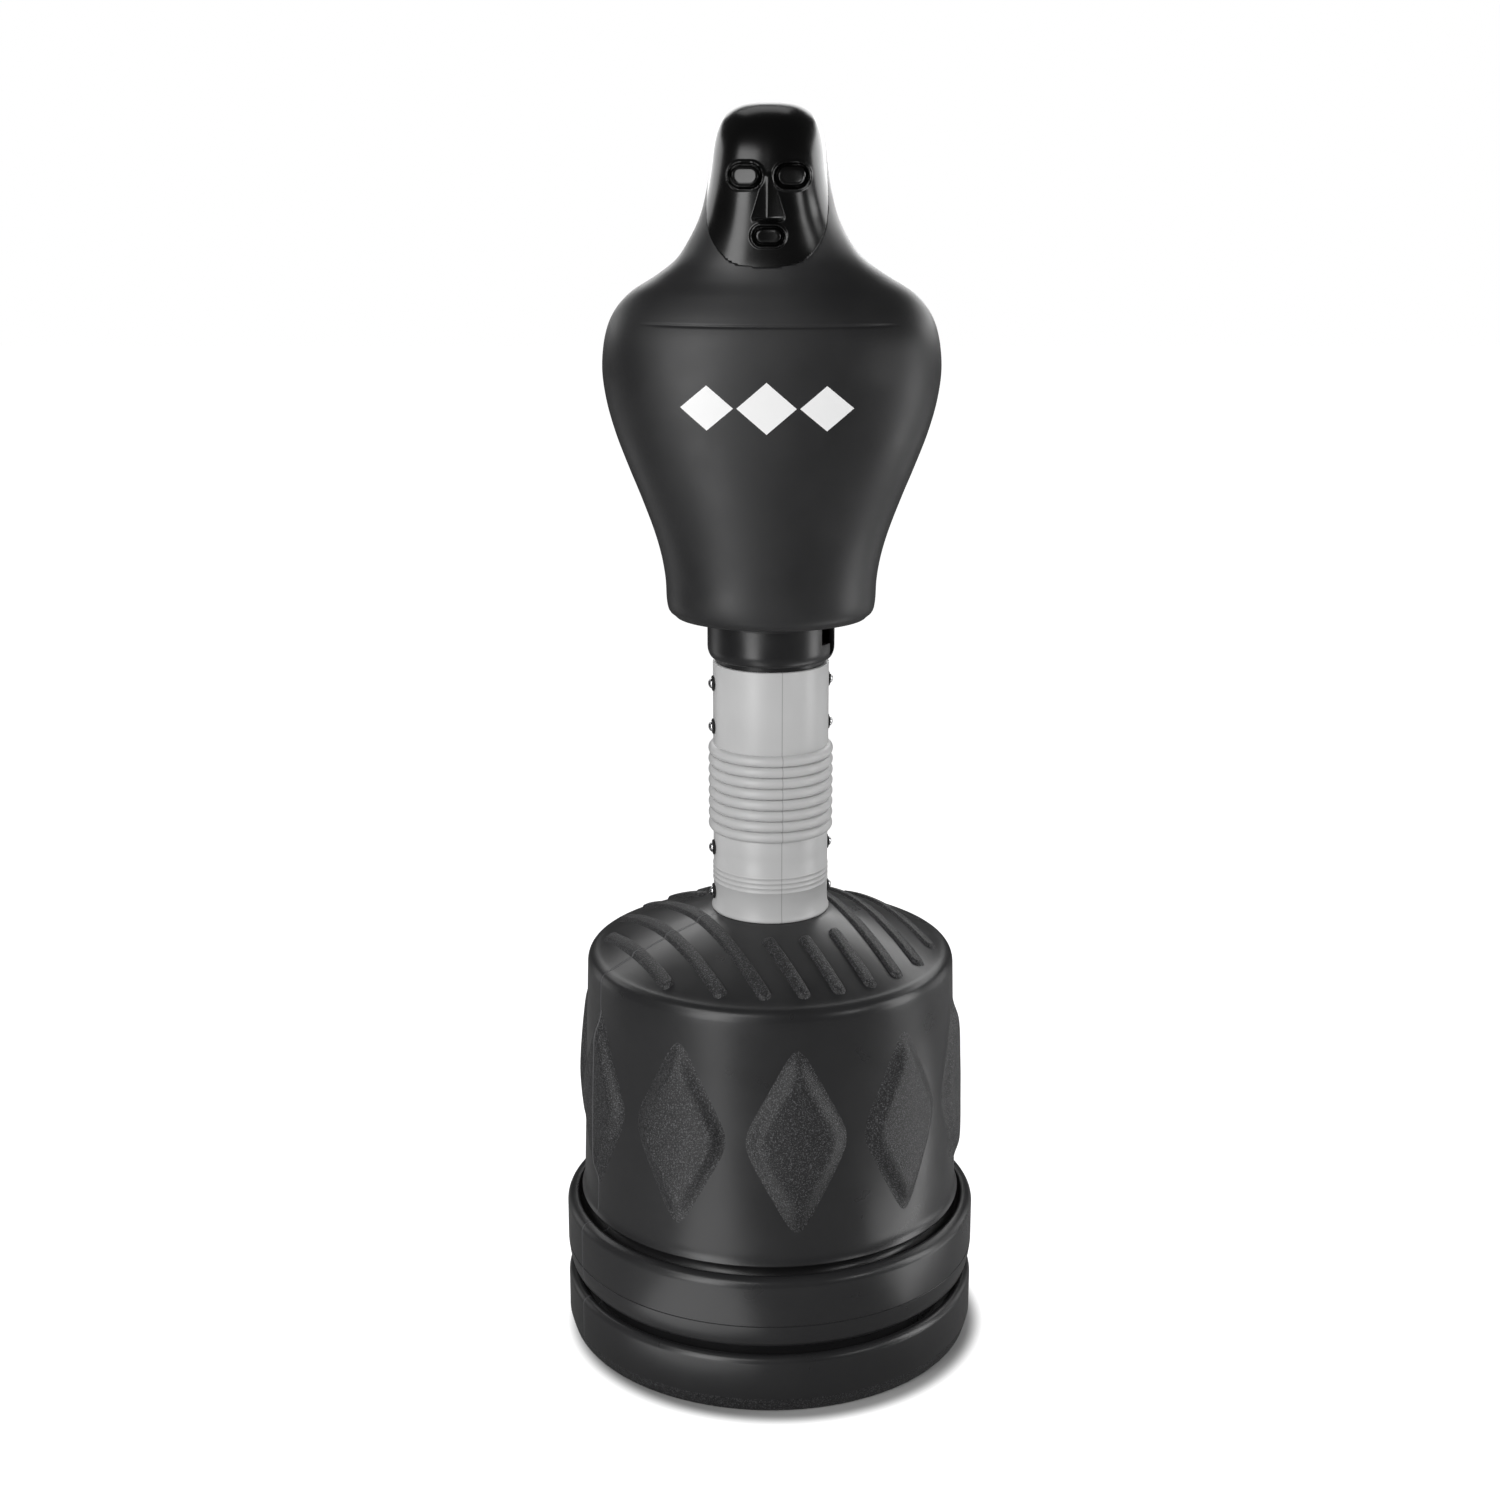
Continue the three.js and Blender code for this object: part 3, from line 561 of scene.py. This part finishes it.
def makeFillerCap():
    centre = fillerPlace()
    low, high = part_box("fill_cap")
    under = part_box("cap_gasket")[1][2] / mm + 0.3
    bottom, top = low[2] / mm, high[2] / mm
    rim = filler["cap"]
    plug = filler["plug"]
    outline = [(0, bottom), (plug - 2.2, bottom), (plug, bottom + 2), (plug, under), (rim, under)]
    outline += arc((rim - 2, under + 6), 2, 0, 90, 5) + [(rim - 6, under + 8), (0, under + 8.4)]
    bm = spun(outline, 96)
    for v in bm.verts:  # finger flutes round the edge
        r = math.hypot(v.co.x, v.co.y) / mm
        if r > rim - 4:
            flute = filler["fluteDepth"] * (1 - math.cos(filler["flutes"] * math.atan2(v.co.y, v.co.x)))
            v.co.x *= 1 - flute / r
            v.co.y *= 1 - flute / r
    cap = piece(bm, "fillerCap", blackPolypropylene, Matrix.Translation(centre))
    bm = bmesh.new()
    bmesh.ops.create_cube(bm, size=1)
    length, width = filler["grip"]
    bmesh.ops.scale(bm, vec=(length * mm, width * mm, (top - under - 7.5) * mm), verts=bm.verts)
    bmesh.ops.bevel(bm, geom=bm.edges[:], offset=2 * mm, affect="EDGES", segments=3, profile=0.5, material=-1)
    grip = piece(bm, "fillerCapGrip", blackPolypropylene,
                 Matrix.Translation(centre + Vector((0, 0, (top + under + 7.5) / 2 * mm))))
    for made in (cap, grip):
        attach(made, "filler_cap")
    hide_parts("fill_cap")


makeFillerCap()
print("filler cap made")


column = {"radius": 74.5, "wall": 3.5, "foot": 77, "yaw": 10.7, "crests": 8, "pitch": 14.4, "middle": 755.5,
          "crest": 80.8, "root": 73.8, "cells": 16, "rings": (630, 636.6, 643.2, 649.8), "steps": 144}


def bellowsOutline(firstZ, count):
    points = []
    cells = column["cells"]
    for i in range(count * cells + 1):
        f = 2 * (i % cells) / cells - 1
        r = lerp(column["root"], column["crest"], math.sqrt(max(1 - f * f, 0)))
        points.append((r, firstZ + i * column["pitch"] / cells))
    return points


def ringOutline(z):
    shares = (-1, -0.6, -0.25, 0, 0.25, 0.6, 1)
    return [(column["radius"] + 0.9 * math.cos(math.pi * f / 2), z + 1.7 * f) for f in shares]


def inside(outline):  # the same outline one wall further in, from top to bottom
    return [(r - column["wall"], z) for r, z in reversed(outline)]


def makeSleeves():
    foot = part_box("sleeve_lower")[0][2] / mm
    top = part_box("sleeve_upper")[1][2] / mm
    half = column["crests"] / 2 * column["pitch"]
    low, high = column["middle"] - half, column["middle"] + half
    r = column["radius"]
    flare = column["foot"]
    outer = [(flare - 0.6, foot), (flare, foot + 0.8), (flare - 0.2, foot + 3)]
    outer += bow((flare - 0.2, foot + 3), (r + 0.2, foot + 7), (r, foot + 16), 5)
    for z in column["rings"]:
        outer += ringOutline(z)
    outer += [(r, 675), (r, low - 3)] + bellowsOutline(low, column["crests"] // 2)
    body = outer[:-1] + [(column["root"], column["middle"])]
    lower = piece(spun(body + inside(body) + body[:1], column["steps"]), "sleeveLower", greyPolyurethane,
                  turnAbout(column["yaw"]), 60)
    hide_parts("sleeve_lower", "bellows_lower")
    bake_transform(lower)
    outer = bellowsOutline(column["middle"], column["crests"] // 2)
    outer[0] = (column["root"], column["middle"])
    outer += [(r, high + 3), (r, 860), (r, top - 1), (r - 0.6, top)]
    upper = piece(spun(outer + inside(outer) + outer[:1], column["steps"]), "sleeveUpper", greyPolyurethane,
                  turnAbout(column["yaw"]), 60)
    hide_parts("bellows_upper", "sleeve_upper")
    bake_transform(upper)


makeSleeves()
print("sleeves made")


spring = {"radius": 44, "wire": 5, "turns": 2.5, "sides": 14, "steps": 90}


def makeSpringHalf(name, low, high, start):
    bm = bmesh.new()
    bmesh.ops.create_circle(bm, segments=spring["sides"], radius=spring["wire"] * mm)
    place = Matrix.Translation((spring["radius"] * mm, 0, low * mm)) @ Matrix.Rotation(math.pi / 2, 4, "X")
    bmesh.ops.transform(bm, matrix=turnAbout(start) @ place, verts=bm.verts)
    bmesh.ops.spin(bm, geom=bm.verts[:] + bm.edges[:], cent=(0, 0, 0), axis=(0, 0, 1),
                   dvec=(0, 0, (high - low) * mm / spring["steps"]), angle=2 * math.pi * spring["turns"],
                   steps=spring["steps"], use_merge=False, use_duplicate=False)
    bmesh.ops.holes_fill(bm, edges=[e for e in bm.edges if e.is_boundary], sides=0)
    bmesh.ops.recalc_face_normals(bm, faces=bm.faces)
    made = piece(bm, name, springSteel)
    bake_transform(made)
    return made


def makeSpring():
    low, high = (corner[2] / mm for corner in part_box("core_spring"))
    low, middle, high = low + spring["wire"], column["middle"], high - spring["wire"]
    lower = makeSpringHalf("coreSpringLower", low, middle, 0)
    makeSpringHalf("coreSpringUpper", middle, high, 180)
    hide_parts("core_spring")


makeSpring()
print("spring made")


fastener = {"count": 8, "head": 6.4, "rise": 4.8, "socket": 3.0, "socketDepth": 2.4, "shank": 3.6,
            "length": 22, "washer": 10, "washerThick": 1.6}


def washerOutline(seat):
    outer, hole, thick = fastener["washer"], fastener["shank"] + 0.3, fastener["washerThick"]
    return [(hole, seat), (outer - 0.3, seat), (outer, seat + 0.3), (outer, seat + thick - 0.3),
            (outer - 0.3, seat + thick), (hole, seat + thick), (hole, seat)]


def screwOutline(base):  # a domed head with a round socket
    head, rise, shank = fastener["head"], fastener["rise"], fastener["shank"]
    end, top, socket = base - fastener["length"], base + rise, fastener["socket"] - 0.3
    outline = [(0, end), (shank - 0.6, end), (shank, end + 1), (shank, base), (head - 0.3, base),
               (head, base + 0.4), (head, base + 0.9)]
    for degrees in (15, 30, 45, 58):
        turn = math.radians(degrees)
        outline.append((head * math.cos(turn), base + 0.9 + (rise - 0.9) * math.sin(turn)))
    return outline + [(socket + 0.3, top - 0.3), (socket, top - 0.6), (socket, top - fastener["socketDepth"]),
                      (0, top - fastener["socketDepth"] - 0.6)]


def makeFastener(number):
    low, high = (Vector(corner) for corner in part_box(f"screw_washer_{number}"))
    middle = (low + high) / 2
    side = column["yaw"] if middle.x > 0 else column["yaw"] + 180
    height = middle.z / mm
    body = "base" if height < column["middle"] else "column_head"
    seat = column["radius"] + 0.3
    place = radialPlace(side, height)
    washer = piece(spun(washerOutline(seat), 48), f"screwWasher_{number}", blackNitrile, place)
    base = seat + fastener["washerThick"] + 0.3
    screw = piece(spun(screwOutline(base), 48), f"sleeveScrew_{number}", zincPlate, place)
    for made, slotName, node in ((washer, "soft_rubber", f"screw_washer_{number}"),
                                 (screw, "polished_steel", f"sleeve_screw_{number}")):
        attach(made, body)
        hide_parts(node)


for number in range(1, fastener["count"] + 1):
    makeFastener(number)
print("screws and washers made")


post = {"radius": 81.3, "wall": 6.3, "plug": 70.5, "plugWall": 7, "collar": 927, "steps": 180}
ladder = {"bay": -32.5, "notch": -17.2, "width": 17, "floor": 951, "window": 28.5, "drop": 16, "pitch": 50,
          "levels": 5, "corner": 2.2}


def ladderOutline():  # corners of the cut as (distance round the post, height), going round it once
    arcMm = math.radians(1) * post["radius"]
    left = ladder["bay"] * arcMm - ladder["width"] / 2
    right = ladder["notch"] * arcMm + ladder["width"] / 2
    bayRight = left + ladder["width"]
    notchLeft = right - ladder["width"]
    points = [(left, ladder["floor"]), (notchLeft, ladder["floor"])]
    for level in range(ladder["levels"]):
        sill = ladder["floor"] + level * ladder["pitch"]
        foot, head = sill - ladder["drop"], sill + ladder["window"]
        if level:
            points += [(bayRight, head - ladder["pitch"]), (bayRight, sill), (notchLeft, sill)]
        points += [(notchLeft, foot), (right, foot), (right, head)]
    return points + [(left, head)]


def ladderCutter():
    bm = bmesh.new()
    verts = [bm.verts.new((0, s * mm, z * mm)) for s, z in ladderOutline()]
    bm.faces.new(verts)
    bmesh.ops.bevel(bm, geom=bm.verts[:], offset=ladder["corner"] * mm, affect="VERTICES", segments=4,
                    profile=0.5, material=-1)
    made = bmesh.ops.extrude_face_region(bm, geom=bm.faces[:])["geom"]
    outer = {g for g in made if isinstance(g, bmesh.types.BMVert)}
    for v in bm.verts:  # bends the cutter round the post
        radius = post["radius"] + (12 if v in outer else -14)
        angle = v.co.y / mm / post["radius"]
        v.co = Vector((radius * mm * math.cos(angle), radius * mm * math.sin(angle), v.co.z))
    bmesh.ops.recalc_face_normals(bm, faces=bm.faces)
    return piece(bm, "ladderCutter", blackPolypropylene)


def makePost():
    low, high = (corner[2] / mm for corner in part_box("adjuster_post"))
    r, collar = post["radius"], post["collar"]
    plug = post["plug"]
    plugInner, inner = plug - post["plugWall"], r - post["wall"]
    outline = [(0, low), (plug - 1, low), (plug, low + 1), (plug, collar - 0.5), (plug + 0.5, collar)]
    outline.append((r - 9, collar))
    outline += bow((r - 9, collar), (r - 4.5, collar), (r - 2.6, collar + 4), 6)
    outline += bow((r - 2.6, collar + 4), (r, collar + 9), (r, collar + 15), 6)
    outline += [(r, high - 1), (r - 1, high), (inner, high), (inner, collar + 10), (plugInner, collar)]
    outline += [(plugInner, low + 9), (0, low + 9)]
    made = piece(spun(outline, post["steps"]), "adjusterPost", blackPolypropylene)
    cutAway(made, ladderCutter())
    soften = made.modifiers.new("soften", "BEVEL")
    soften.width = 0.6 * mm
    soften.segments = 2
    soften.limit_method = "ANGLE"
    soften.angle_limit = math.radians(40)
    settle(made)
    made.data.shade_smooth()
    made.data.set_sharp_from_angle(angle=math.radians(35))
    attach(made, "column_head")
    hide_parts("adjuster_post")


makePost()
print("post made")


# height, half-width, front and back reach, squareness of the section, all in mm up from the floor
bodySections = [
    (980, 118, 100, 100, 2.0),
    (988, 129, 109, 109, 2.1),
    (1002, 132.5, 112, 112, 2.2),
    (1030, 134, 113, 112, 2.2),
    (1060, 139, 115, 114, 2.2),
    (1092, 148, 118, 116, 2.2),
    (1133, 163, 122, 120, 2.25),
    (1173, 179, 126, 122, 2.3),
    (1213, 194, 130, 125, 2.3),
    (1253, 205, 133, 128, 2.3),
    (1293, 210, 134, 130, 2.3),
    (1332, 206, 129, 127, 2.3),
    (1361, 195, 120, 121, 2.25),
    (1385, 174, 110, 113, 2.2),
    (1405, 142, 101, 104, 2.2),
    (1425, 115, 96, 96, 2.25),
    (1448, 98, 95, 88, 2.35),
    (1476, 84, 97, 84, 2.5),
    (1505, 76, 99, 86, 2.6),
    (1533, 71, 98, 88, 2.6),
    (1558, 68, 93, 86, 2.5),
    (1576, 64, 85, 79, 2.4),
    (1591, 57, 72, 68, 2.3),
    (1601, 46, 56, 53, 2.2),
    (1607, 32, 38, 36, 2.1),
    (1609.5, 14, 17, 16, 2.0),
    (1610, 0, 0, 0, 2.0),
]
# yaw and seamTilt in degrees, the rest in mm; the seam parts the face's skin from the rest
torso = {"yaw": -3.1, "foot": 984, "crown": 1590, "bore": 86.3, "skin": 4, "headShift": -3.5,
         "chestLine": 1353, "lineDepth": 1.4, "lineWidth": 1.7, "seamY": -96, "seamZ": 1421.5, "seamTilt": 58,
         "seamGap": 0.08, "seamDip": 3, "seamDipX": 48, "seamDipWidth": 18}
face = {"eyeX": 27.5, "eyeZ": 1526, "eyeHalf": (21.2, 15.8), "eyeRound": 15.4, "mouthZ": 1457,
        "mouthHalf": (20.4, 13), "mouthRound": 12.8, "noseTop": 1533, "noseBase": 1479, "noseTip": 5.5,
        "noseWidth": 20, "noseRise": 20}
# rise of the skin by the distance from a hollow's edge, below 0 inside: a fine rim and a channel within it
hollowKeys = [(-9, 3.2), (-5.8, 2.3), (-3.8, -4.8), (-2.6, -4.4), (-0.5, 2.5), (0.7, 2.2), (2.8, 0)]


def sectionAt(t):  # a curve through the sections, t from 0 to 1
    place = t * (len(bodySections) - 1)
    i = min(int(place), len(bodySections) - 2)
    f = place - i
    rows = [bodySections[min(max(k, 0), len(bodySections) - 1)] for k in (i - 1, i, i + 1, i + 2)]
    values = []
    for a, b, c, d in zip(*rows):
        values.append(0.5 * (2 * b + (c - a) * f + (2 * a - 5 * b + 4 * c - d) * f ** 2
                             + (3 * b - a - 3 * c + d) * f ** 3))
    return values


def heightShare(z):  # where along the curve a height is reached
    low, high = 0.0, 1.0
    for _ in range(24):
        middle = (low + high) / 2
        if sectionAt(middle)[0] < z:
            low = middle
        else:
            high = middle
    return low


def onSection(section, turn):  # turn 0 is the front and runs towards +X
    z, halfWidth, front, back, square = section
    s, c = math.sin(turn), math.cos(turn)
    x = halfWidth * math.copysign(abs(s) ** (2 / square), s)
    y = -(front if c > 0 else back) * math.copysign(abs(c) ** (2 / square), c)
    return x, y, z


def edgeDistance(x, z, half, corner):  # from a rounded box: below 0 inside
    qx, qz = abs(x) - half[0] + corner, abs(z) - half[1] + corner
    return math.hypot(max(qx, 0), max(qz, 0)) + min(max(qx, qz), 0) - corner


def rimmedHollow(dx, dz, half, corner):  # an eye or the mouth, with a flat pillow in its middle
    d = edgeDistance(dx, dz, half, corner)
    pillow = 0.008 * dx * dx * smooth(-4.6, -6.4, d)
    return pillow + keyed(hollowKeys, d)


def faceRelief(x, z):  # how far the face stands out of the plain skin, in mm
    rise = rimmedHollow(x, z - face["mouthZ"], face["mouthHalf"], face["mouthRound"])
    for eyeX in (-face["eyeX"], face["eyeX"]):
        rise += rimmedHollow(x - eyeX, z - face["eyeZ"], face["eyeHalf"], face["eyeRound"])
    share = (face["noseTop"] - z) / (face["noseTop"] - face["noseBase"])  # 0 at the brow, 1 at the base
    if not 0 < share < 1.14:
        return rise
    grown = min(share, 1) ** 1.2
    ridge = 1 - min(math.sqrt(x * x + 5) / lerp(face["noseTip"], face["noseWidth"], grown), 1)
    height = face["noseRise"] * (0.14 + 0.86 * grown) * smooth(0, 0.15, share) * smooth(1.13, 1.0, share)
    return rise * smooth(0.4, 0, ridge) + height * ridge ** 0.85


def gridRows(*spans):  # heights for the rows of a grid, from (low, high, count) spans
    rows = [spans[0][0]]
    for low, high, count in spans:
        rows += [lerp(low, high, i / count) for i in range(1, count + 1)]
    return rows


def crownHeights(count):  # rows over the top of the head, even along its curve
    start = heightShare(torso["crown"])
    return [sectionAt(lerp(start, 1, i / count))[0] for i in range(1, count + 1)]


def bodyGrid(columns, heights, crowd):
    # a grid wrapped round the body: heights gives z for each row, crowd packs columns towards the face
    rows = len(heights) - 1
    bm = bmesh.new()
    bmesh.ops.create_grid(bm, x_segments=columns, y_segments=rows, size=1)
    sections = [sectionAt(heightShare(z)) for z in heights]
    for v in bm.verts:
        row = round((v.co.y + 1) / 2 * rows)
        turn = math.pi * lerp(v.co.x, v.co.x ** 3, crowd)
        v.co = Vector(onSection(sections[row], turn))
        v.co.x += torso["headShift"] * smooth(1390, 1450, v.co.z)
    return bm


def makeHead():
    heights = gridRows((1400, 1438, 16), (1438, 1556, 140), (1556, torso["crown"], 16)) + crownHeights(28)
    bm = bodyGrid(360, heights, 0.6)
    for v in bm.verts:
        if v.co.y < -30 and v.co.z < torso["crown"]:
            v.co.y -= faceRelief(v.co.x, v.co.z) * smooth(-30, -60, v.co.y)
    finishSkin(bm, "headSkin", glossVinyl, "head_skin", keepHead=True)


def makeTorsoSkin():
    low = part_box("torso_skin")[0][2] / mm
    middle = torso["chestLine"]
    heights = gridRows((torso["foot"], middle - 12, 110), (middle - 12, middle + 12, 32),
                       (middle + 12, torso["crown"], 72)) + crownHeights(16)
    bm = bodyGrid(200, heights, 0.2)
    for v in bm.verts:
        if v.co.y < 0:
            line = math.exp(-((v.co.z - middle) / torso["lineWidth"]) ** 2) * smooth(165, 120, abs(v.co.x))
            v.co.y += torso["lineDepth"] * line
    rim = [e for e in bm.edges if e.is_boundary and all(abs(v.co.z - torso["foot"]) < 0.5 for v in e.verts)]
    for shrink, z in ((0.975, low + 3), (0.93, low + 0.8), (0.88, low), (None, low), (None, low + 6)):
        made = bmesh.ops.extrude_edge_only(bm, edges=rim)["geom"]
        rim = [g for g in made if isinstance(g, bmesh.types.BMEdge)]
        for v in (g for g in made if isinstance(g, bmesh.types.BMVert)):
            if shrink:
                v.co.x *= shrink
                v.co.y *= shrink
            else:
                r = math.hypot(v.co.x, v.co.y)
                v.co.x *= torso["bore"] / r
                v.co.y *= torso["bore"] / r
            v.co.z = z
    finishSkin(bm, "torsoSkin", mattVinyl, "torso_skin", keepHead=False)


def flattenSeam(bm, way):  # lifts the skin where the cut should dip, and puts it back after the cut
    for v in bm.verts:
        if v.co.y < 0:
            away = (abs(v.co.x) - torso["seamDipX"]) / torso["seamDipWidth"]
            v.co.z += way * torso["seamDip"] * math.exp(-away ** 2)


def finishSkin(bm, name, material, node, keepHead):
    bmesh.ops.remove_doubles(bm, verts=bm.verts, dist=0.02)
    tilt = math.radians(torso["seamTilt"])
    normal = Vector((0, -math.sin(tilt), math.cos(tilt)))
    lift = torso["seamGap"] / 2 * (1 if keepHead else -1)
    flattenSeam(bm, 1)
    onPlane = Vector((0, torso["seamY"], torso["seamZ"])) + normal * lift
    bmesh.ops.bisect_plane(bm, geom=bm.verts[:] + bm.edges[:] + bm.faces[:], dist=1e-4, plane_co=onPlane,
                           plane_no=normal, clear_inner=keepHead, clear_outer=not keepHead)
    flattenSeam(bm, -1)
    bmesh.ops.recalc_face_normals(bm, faces=bm.faces)
    bmesh.ops.scale(bm, vec=(mm, mm, mm), verts=bm.verts)
    made = piece(bm, name, material, turnAbout(torso["yaw"]), 60)
    wall = made.modifiers.new("wall", "SOLIDIFY")
    wall.thickness = torso["skin"] * mm
    wall.offset = -1
    settle(made)
    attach(made, "torso")
    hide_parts(node)


foam = {"across": 0.93, "deep": 0.92, "tall": 0.985, "tallFrom": 1000}  # its shares of the skin's size


def makeFoam():
    bm = bodyGrid(96, gridRows((torso["foot"], torso["crown"], 90)) + crownHeights(10), 0)
    for v in bm.verts:
        v.co.x *= foam["across"]
        v.co.y *= foam["deep"]
        if v.co.z > foam["tallFrom"]:
            v.co.z = lerp(foam["tallFrom"], v.co.z, foam["tall"])
    bmesh.ops.remove_doubles(bm, verts=bm.verts, dist=0.02)
    bmesh.ops.holes_fill(bm, edges=[e for e in bm.edges if e.is_boundary], sides=0)
    bmesh.ops.recalc_face_normals(bm, faces=bm.faces)
    bmesh.ops.scale(bm, vec=(mm, mm, mm), verts=bm.verts)
    made = piece(bm, "foamCore", castFoam, turnAbout(torso["yaw"]), 60)
    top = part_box("socket_tube")[1][2] / mm + 0.3
    bore = [(0, 900), (torso["bore"], 900), (torso["bore"], top), (0, top)]
    cutAway(made, piece(spun(bore, 96), "boreCutter", castFoam))
    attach(made, "torso")
    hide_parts("foam_core")


def vinylSkin(name, look):
    # slush-moulded vinyl: a soft skin whose shine comes from the polish of its mould
    material, tree, shader, place = startMaterial(name)
    cloud = addNode(tree, "ShaderNodeTexNoise", {"Vector": place, "Scale": perMetre(look["cloudMm"]),
                                                 "Detail": 4.0})
    pore = addNode(tree, "ShaderNodeTexNoise", {"Vector": place, "Scale": perMetre(look["poreMm"]),
                                                "Detail": 2.0})
    tint = addNode(tree, "ShaderNodeMix", {"Factor": cloud.outputs["Fac"], 6: hexColour(look["dark"]),
                                           7: hexColour(look["light"])}, data_type="RGBA")
    low, high = look["roughness"]
    shine = addNode(tree, "ShaderNodeMapRange", {"Value": cloud.outputs["Fac"], "From Min": 0.3,
                                                 "From Max": 0.7, "To Min": low, "To Max": high})
    bump = addNode(tree, "ShaderNodeBump", {"Height": pore.outputs["Fac"], "Strength": look["bump"],
                                            "Distance": look["bumpMm"] * mm})
    colour = tint.outputs[2]
    if "print" in look:
        colour = chestPrint(tree, place, colour, look["print"])
    tree.links.new(colour, shader.inputs["Base Color"])
    tree.links.new(shine.outputs["Result"], shader.inputs["Roughness"])
    tree.links.new(bump.outputs["Normal"], shader.inputs["Normal"])
    return material


def chestPrint(tree, place, colour, look):
    # a screen-printed row of lozenges, drawn straight on the skin in white ink
    turn = (0, 0, math.radians(-torso["yaw"]))
    turned = addNode(tree, "ShaderNodeMapping", {"Vector": place, "Rotation": turn})
    axes = addNode(tree, "ShaderNodeSeparateXYZ", {"Vector": turned.outputs["Vector"]})
    mask = None
    for centre, halfWidth, halfHeight in look["lozenges"]:
        shares = []
        for axis, middle, half in (("X", centre, halfWidth), ("Z", look["height"], halfHeight)):
            off = addNode(tree, "ShaderNodeMath", {0: axes.outputs[axis], 1: middle * mm},
                          operation="SUBTRACT")
            away = addNode(tree, "ShaderNodeMath", {0: off.outputs[0]}, operation="ABSOLUTE")
            share = addNode(tree, "ShaderNodeMath", {0: away.outputs[0], 1: half * mm}, operation="DIVIDE")
            shares.append(share.outputs[0])
        total = addNode(tree, "ShaderNodeMath", {0: shares[0], 1: shares[1]}, operation="ADD")
        within = addNode(tree, "ShaderNodeMath", {0: total.outputs[0], 1: 1.0}, operation="LESS_THAN")
        if mask is None:
            mask = within.outputs[0]
        else:
            joined = addNode(tree, "ShaderNodeMath", {0: mask, 1: within.outputs[0]}, operation="MAXIMUM")
            mask = joined.outputs[0]
    front = addNode(tree, "ShaderNodeMath", {0: axes.outputs["Y"], 1: 0.0}, operation="LESS_THAN")
    mask = addNode(tree, "ShaderNodeMath", {0: mask, 1: front.outputs[0]}, operation="MULTIPLY").outputs[0]
    return addNode(tree, "ShaderNodeMix", {"Factor": mask, 6: colour, 7: hexColour(look["ink"])},
                   data_type="RGBA").outputs[2]


mattVinyl = vinylSkin("mattBlackVinyl", {
    "dark": "#212122", "light": "#282829", "roughness": (0.42, 0.52), "cloudMm": 70, "poreMm": 1.6,
    "bump": 0.25, "bumpMm": 0.15,
    "print": {"ink": "#ffffff", "height": 1258, "lozenges": [(-72, 32, 27), (0, 36, 31), (72, 32, 27)]}})
glossVinyl = vinylSkin("glossBlackVinyl", {
    "dark": "#060606", "light": "#0a0a0a", "roughness": (0.2, 0.26), "cloudMm": 40, "poreMm": 3, "bump": 0.05,
    "bumpMm": 0.1})
makeHead()
makeTorsoSkin()
makeFoam()
print("head, torso and foam made")


keptFinishes = {
    "foot_plug": blackPolypropylene,
    "post_cap": blackPolypropylene,
    "socket_tube": blackPolypropylene,
    "glide_bush": greyPolyurethane,
    "cap_gasket": blackNitrile,
    "locking_key": zincPlate,
}
for node, material in keptFinishes.items():
    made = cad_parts[node]
    if not made.material_slots:
        made.data.materials.append(material)
    for each in made.material_slots:
        each.material = material
print("kept pieces finished")
